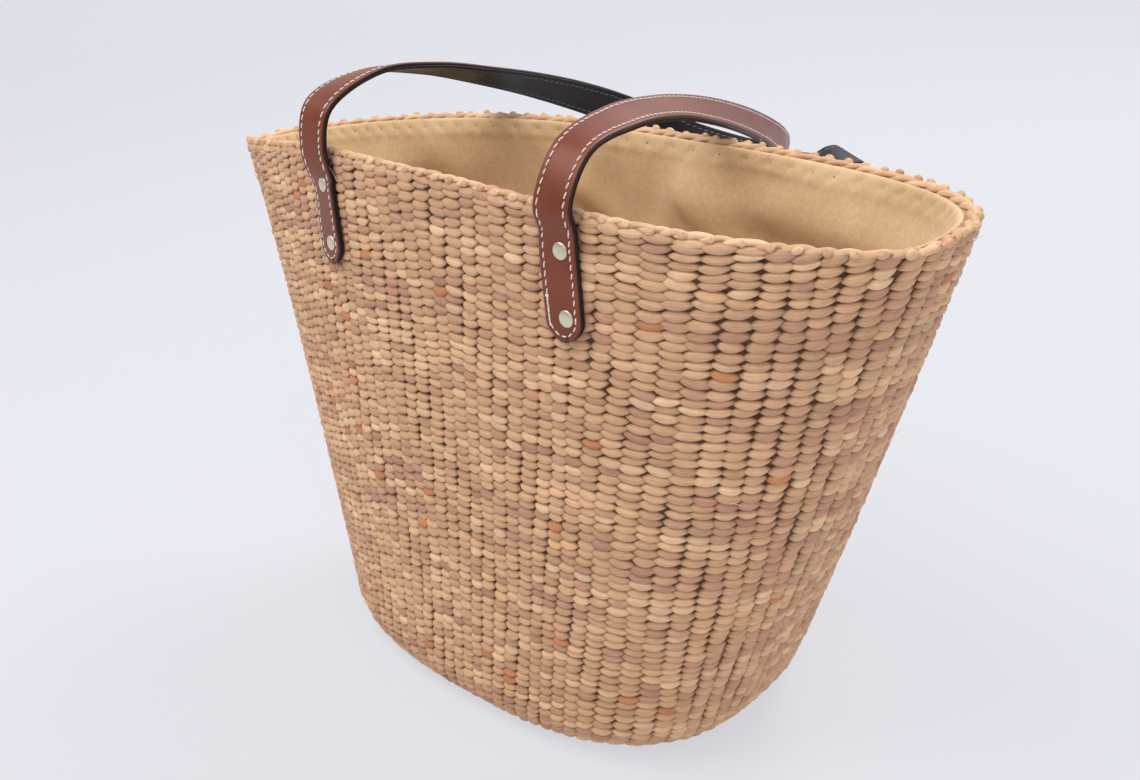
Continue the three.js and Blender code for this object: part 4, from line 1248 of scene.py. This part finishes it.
def stitch_line(route, handle):
    # Places of the stitches: distance along, place across and direction, for both edges and tips.
    places = []
    inset = 0.0029
    step = 0.0041
    # The path round a tip: the highest place across, at each height, that is an inset from the edge.
    tip_near = np.linspace(0, TIP_LENGTH * 1.6, 400)
    outline = np.stack([strap_half_width(route, tip_near), tip_near], 1)
    outline = np.concatenate([np.stack([np.linspace(0, outline[0, 0], 40), np.zeros(40)], 1), outline])
    across_grid = np.linspace(0, TAB_HALF, 220)
    tip_path = []
    for near in np.linspace(inset, TIP_LENGTH * 1.2, 90):
        spots = np.stack([across_grid, np.full(220, near)], 1)
        clear = np.linalg.norm(spots[:, None] - outline[None], axis=2).min(1) >= inset - 0.00003
        clear &= across_grid <= float(strap_half_width(route, near))
        if clear.any():
            tip_path.append((across_grid[clear].max(), near))
    tip_path = np.array([(0.0, tip_path[0][1]), *tip_path])
    tip_run = np.concatenate([[0], np.cumsum(np.linalg.norm(np.diff(tip_path, axis=0), axis=1))])

    def on_tip(run):
        return [float(np.interp(run, tip_run, tip_path[:, k])) for k in range(2)]

    tip_count = int(tip_run[-1] / step)
    start = float(np.interp((tip_count + 0.9) * step, tip_run, tip_path[:, 1]))
    for edge in (-1, 1):
        span = route["total"] - 2 * start
        count = int(span / step)
        for i in range(count + 1):
            distance = start + span * i / count
            half = float(strap_half_width(route, distance))
            places.append((distance, edge * (half - inset), 0.0, edge))
    for end in (0, 1):
        for i in range(-tip_count, tip_count + 1):
            run = abs(i) * step
            across, near = on_tip(run)
            ahead, ahead_near = on_tip(run + 0.0006)
            back, back_near = on_tip(max(run - 0.0006, 0))
            slope = math.atan2(ahead - back, ahead_near - back_near)
            slope = math.pi / 2 if i == 0 else slope * (1 if i > 0 else -1)
            distance = near if end == 0 else route["total"] - near
            places.append((distance, across * (1 if i > 0 else -1), slope if end == 0 else -slope, 0))
    # On the front right tab the seam was started again: a doubled stretch with a small knot.
    if handle["name"] == "front":
        for near in (0.0085, 0.0108, 0.0131, 0.0154, 0.0177, 0.0200):
            half = float(strap_half_width(route, near))
            places.append((route["total"] - near, half - inset + 0.0001, 0.0, 1))
        places.append((route["total"] - 0.0212, TAB_HALF - inset + 0.0003, 1.2, 2))
    return places


def stitches(name, route, places, out, height, material, rng):
    points = []
    faces = []
    uvs = []
    for index, (distance, across, lean, edge) in enumerate(places):
        long = {0: 0.0015, 2: 0.0010}.get(edge, 0.00155)
        local = dash_points * (long * rng.normal(1, 0.05), 0.00034 if edge < 2 else 0.0008, height)
        slant = lean + (rng.normal(0.20, 0.04) if edge else 0)
        along_local = local[:, 0] * math.cos(slant) - local[:, 1] * math.sin(slant)
        across_local = local[:, 0] * math.sin(slant) + local[:, 1] * math.cos(slant)
        lifted = out + local[:, 2] * (1 - 0.35 * (dash_points[:, 0] ** 2))
        placed = along_strap(
            route, distance + along_local, across + across_local + rng.normal(0, 0.00006), lifted
        )
        faces.append(dash_faces + index * len(local))
        points.append(placed)
        uvs.append(local[:, :2] + (index * 0.01, 0))
    piece = make_piece(name, np.concatenate(points), np.concatenate(faces))
    set_uv(piece, np.concatenate(uvs))
    piece.data.materials.append(material)
    return piece


stitch_rng = np.random.default_rng(8)
routes = {}
for handle, blend_start, blend_end in (
    (front_handle, (0, -0.055, 0.316), (0, -0.047, 0.326)),
    (back_handle, (0, 0.0893, 0.291), (0, 0.0955, 0.291)),
):
    label = handle["name"]
    route = strap_route(handle)
    routes[label] = route
    face_ply = strap_ply(f"{label}_strap_face", route, face_section, leather)
    back_ply = strap_ply(f"{label}_strap_backing", route, back_section, backing)
    places = stitch_line(route, handle)
    seam_top = stitches(f"{label}_strap_stitches", route, places, 0.00198, 0.00042, thread,
                        stitch_rng)
    seam_back = stitches(f"{label}_backing_stitches", route, places, -0.00134, 0.00030, dark_thread,
                         stitch_rng)
    for piece in (face_ply, back_ply, seam_top, seam_back):
        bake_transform(piece)
    for ply, ply_piece in (("face", face_ply), ("backing", back_ply)):
        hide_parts(f"{label}_loop_{ply}", f"{label}_left_tab_{ply}", f"{label}_right_tab_{ply}")

# Rivets
# Two-part compression rivets in pale gold plate: a low domed head outside, and a socket pressed
# on inside the wall, over a small leather patch.
gold, gold_tree, gold_shader, gold_noise = mottled_material(
    "pale gold plate", 380.0, 4.0, (0.66, 0.60, 0.43), (0.78, 0.73, 0.56)
)
gold_rough = remap(gold_tree, gold_noise, "Fac", 0.0, 1.0, 0.22, 0.36)
wire(gold_tree, (gold_rough, 0, gold_shader, "Roughness"))
add_relief(gold_tree, gold_shader, gold_noise, "Fac", 0.05, 0.0002)
gold_shader.inputs["Metallic"].default_value = 0.92
bpy.ops.object.select_all(action="DESELECT")
bpy.ops.mesh.primitive_cylinder_add(vertices=40, radius=0.0041, depth=0.0004, location=(0, 0, 0.0043))
head = bpy.context.object
bpy.ops.object.transform_apply(location=True)
bpy.ops.object.mode_set(mode="EDIT")
bpy.ops.mesh.select_all(action="DESELECT")
bpy.ops.object.mode_set(mode="OBJECT")
for polygon in head.data.polygons:
    polygon.select = polygon.normal.z > 0.9
bpy.ops.object.mode_set(mode="EDIT")
for inset, rise in (
    (0.00012, 0.00022), (0.00038, 0.00022), (0.0006, 0.00018), (0.0009, 0.00014),
    (0.0011, 0.00006),
):
    bpy.ops.mesh.inset(thickness=inset, depth=0)
    bpy.ops.transform.translate(value=(0, 0, rise))
bpy.ops.mesh.select_all(action="SELECT")
bpy.ops.mesh.faces_shade_smooth()
bpy.ops.object.mode_set(mode="OBJECT")
head_mesh = head.data
for label in ("front", "back"):
    for end, end_name in ((-1, "left"), (1, "right")):
        tab = routes[label]["frames"][end]
        for place in ("upper", "lower"):
            name = f"{label}_{end_name}_{place}_rivet"
            copy = bpy.data.objects.new(f"{name}_dome", head_mesh.copy())
            bpy.context.scene.collection.objects.link(copy)
            turn = Matrix((tab["width"], tab["up"], tab["out"])).transposed().to_4x4()
            if turn.determinant() < 0:
                turn = Matrix((-tab["width"], tab["up"], tab["out"])).transposed().to_4x4()
            copy.data.transform(Matrix.Translation(tab[place]) @ turn)
            copy.data.materials.append(gold)
            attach(copy, "bag")
            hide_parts(f"{name}_head")
            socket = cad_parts[f"{name}_socket"]
            socket.data.materials.clear()
            socket.data.materials.append(gold)
bpy.data.objects.remove(head)

patch, patch_tree, patch_shader, patch_noise = mottled_material(
    "undyed patch leather", 140.0, 5.0, (0.20, 0.12, 0.065), (0.30, 0.19, 0.11), 0.85
)
add_relief(patch_tree, patch_shader, patch_noise, "Fac", 0.4, 0.0003)
for label in ("front", "back"):
    for end_name in ("left", "right"):
        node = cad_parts[f"{label}_{end_name}_patch"]
        node.data.materials.clear()
        node.data.materials.append(patch)

# Floor and light
# A pale lilac-white sweep of paper, and broad soft lamps from the upper left.
paper, paper_tree, paper_shader = new_material("pale paper")
paper_shader.inputs["Base Color"].default_value = (0.80, 0.80, 0.83, 1)
paper_shader.inputs["Roughness"].default_value = 0.9
paper_shader.inputs["Specular IOR Level"].default_value = 0.1
paper_glow = add_node(paper_tree, "ShaderNodeEmission", inputs={"Color": (0.745, 0.755, 0.805, 1)})
paper_path = add_node(paper_tree, "ShaderNodeLightPath")
paper_seen = add_node(paper_tree, "ShaderNodeMath", operation="MAXIMUM")
paper_any = add_node(paper_tree, "ShaderNodeMath", operation="MAXIMUM")
paper_share = add_node(paper_tree, "ShaderNodeMath", operation="MULTIPLY", inputs={1: 0.78})
paper_mix = add_node(paper_tree, "ShaderNodeMixShader")
wire(
    paper_tree,
    (paper_path, "Is Camera Ray", paper_seen, 0), (paper_path, "Is Glossy Ray", paper_seen, 1),
    (paper_seen, 0, paper_any, 0), (paper_path, "Is Transmission Ray", paper_any, 1),
    (paper_any, 0, paper_share, 0), (paper_share, 0, paper_mix, 0), (paper_shader, 0, paper_mix, 1),
    (paper_glow, 0, paper_mix, 2),
)
paper_tree.links.new(paper_mix.outputs[0], paper_tree.nodes["Material Output"].inputs["Surface"])
away = -camera_back.copy()
away.z = 0
away.normalize()
side_way = Vector((away.y, -away.x, 0))
SWEEP_HALF = 4.0
sweep_points = []
for distance, height in (
    (-2.5, 0), (-1.0, 0), (0.8, 0), (1.5, 0), (1.9, 0.03), (2.2, 0.16), (2.4, 0.45), (2.5, 1.2),
    (2.5, 3.0),
):
    for across in (-SWEEP_HALF, SWEEP_HALF):
        spot = away * distance + side_way * across
        sweep_points.append((spot.x, spot.y, height - 0.0002))
sweep = make_piece("floor_sweep", sweep_points, grid_faces(9, 2))
sweep.data.flip_normals()
sweep.data.materials.append(paper)
world = bpy.data.worlds.new("studio")
bpy.context.scene.world = world
world.use_nodes = True
world.node_tree.nodes["Background"].inputs["Color"].default_value = (0.93, 0.93, 1.0, 1)
world.node_tree.nodes["Background"].inputs["Strength"].default_value = 0.55


def soft_lamp(name, place, aim, size, power, colour):
    data = bpy.data.lights.new(name, "AREA")
    data.shape = "SQUARE"
    data.size = size
    data.energy = power
    data.color = colour
    lamp = bpy.data.objects.new(name, data)
    bpy.context.scene.collection.objects.link(lamp)
    lamp.location = place
    lamp.rotation_euler = (Vector(aim) - Vector(place)).to_track_quat("-Z", "Y").to_euler()


soft_lamp("key", (-0.55, -0.75, 2.05), (0, 0, 0.15), 1.4, 26, (1.0, 0.98, 0.96))
soft_lamp("fill", (1.3, -1.0, 1.8), (0, 0, 0.15), 1.6, 10, (1.0, 0.99, 0.98))
soft_lamp("back", (0.1, 1.4, 1.8), (0, 0, 0.25), 1.2, 25, (0.98, 0.99, 1.0))
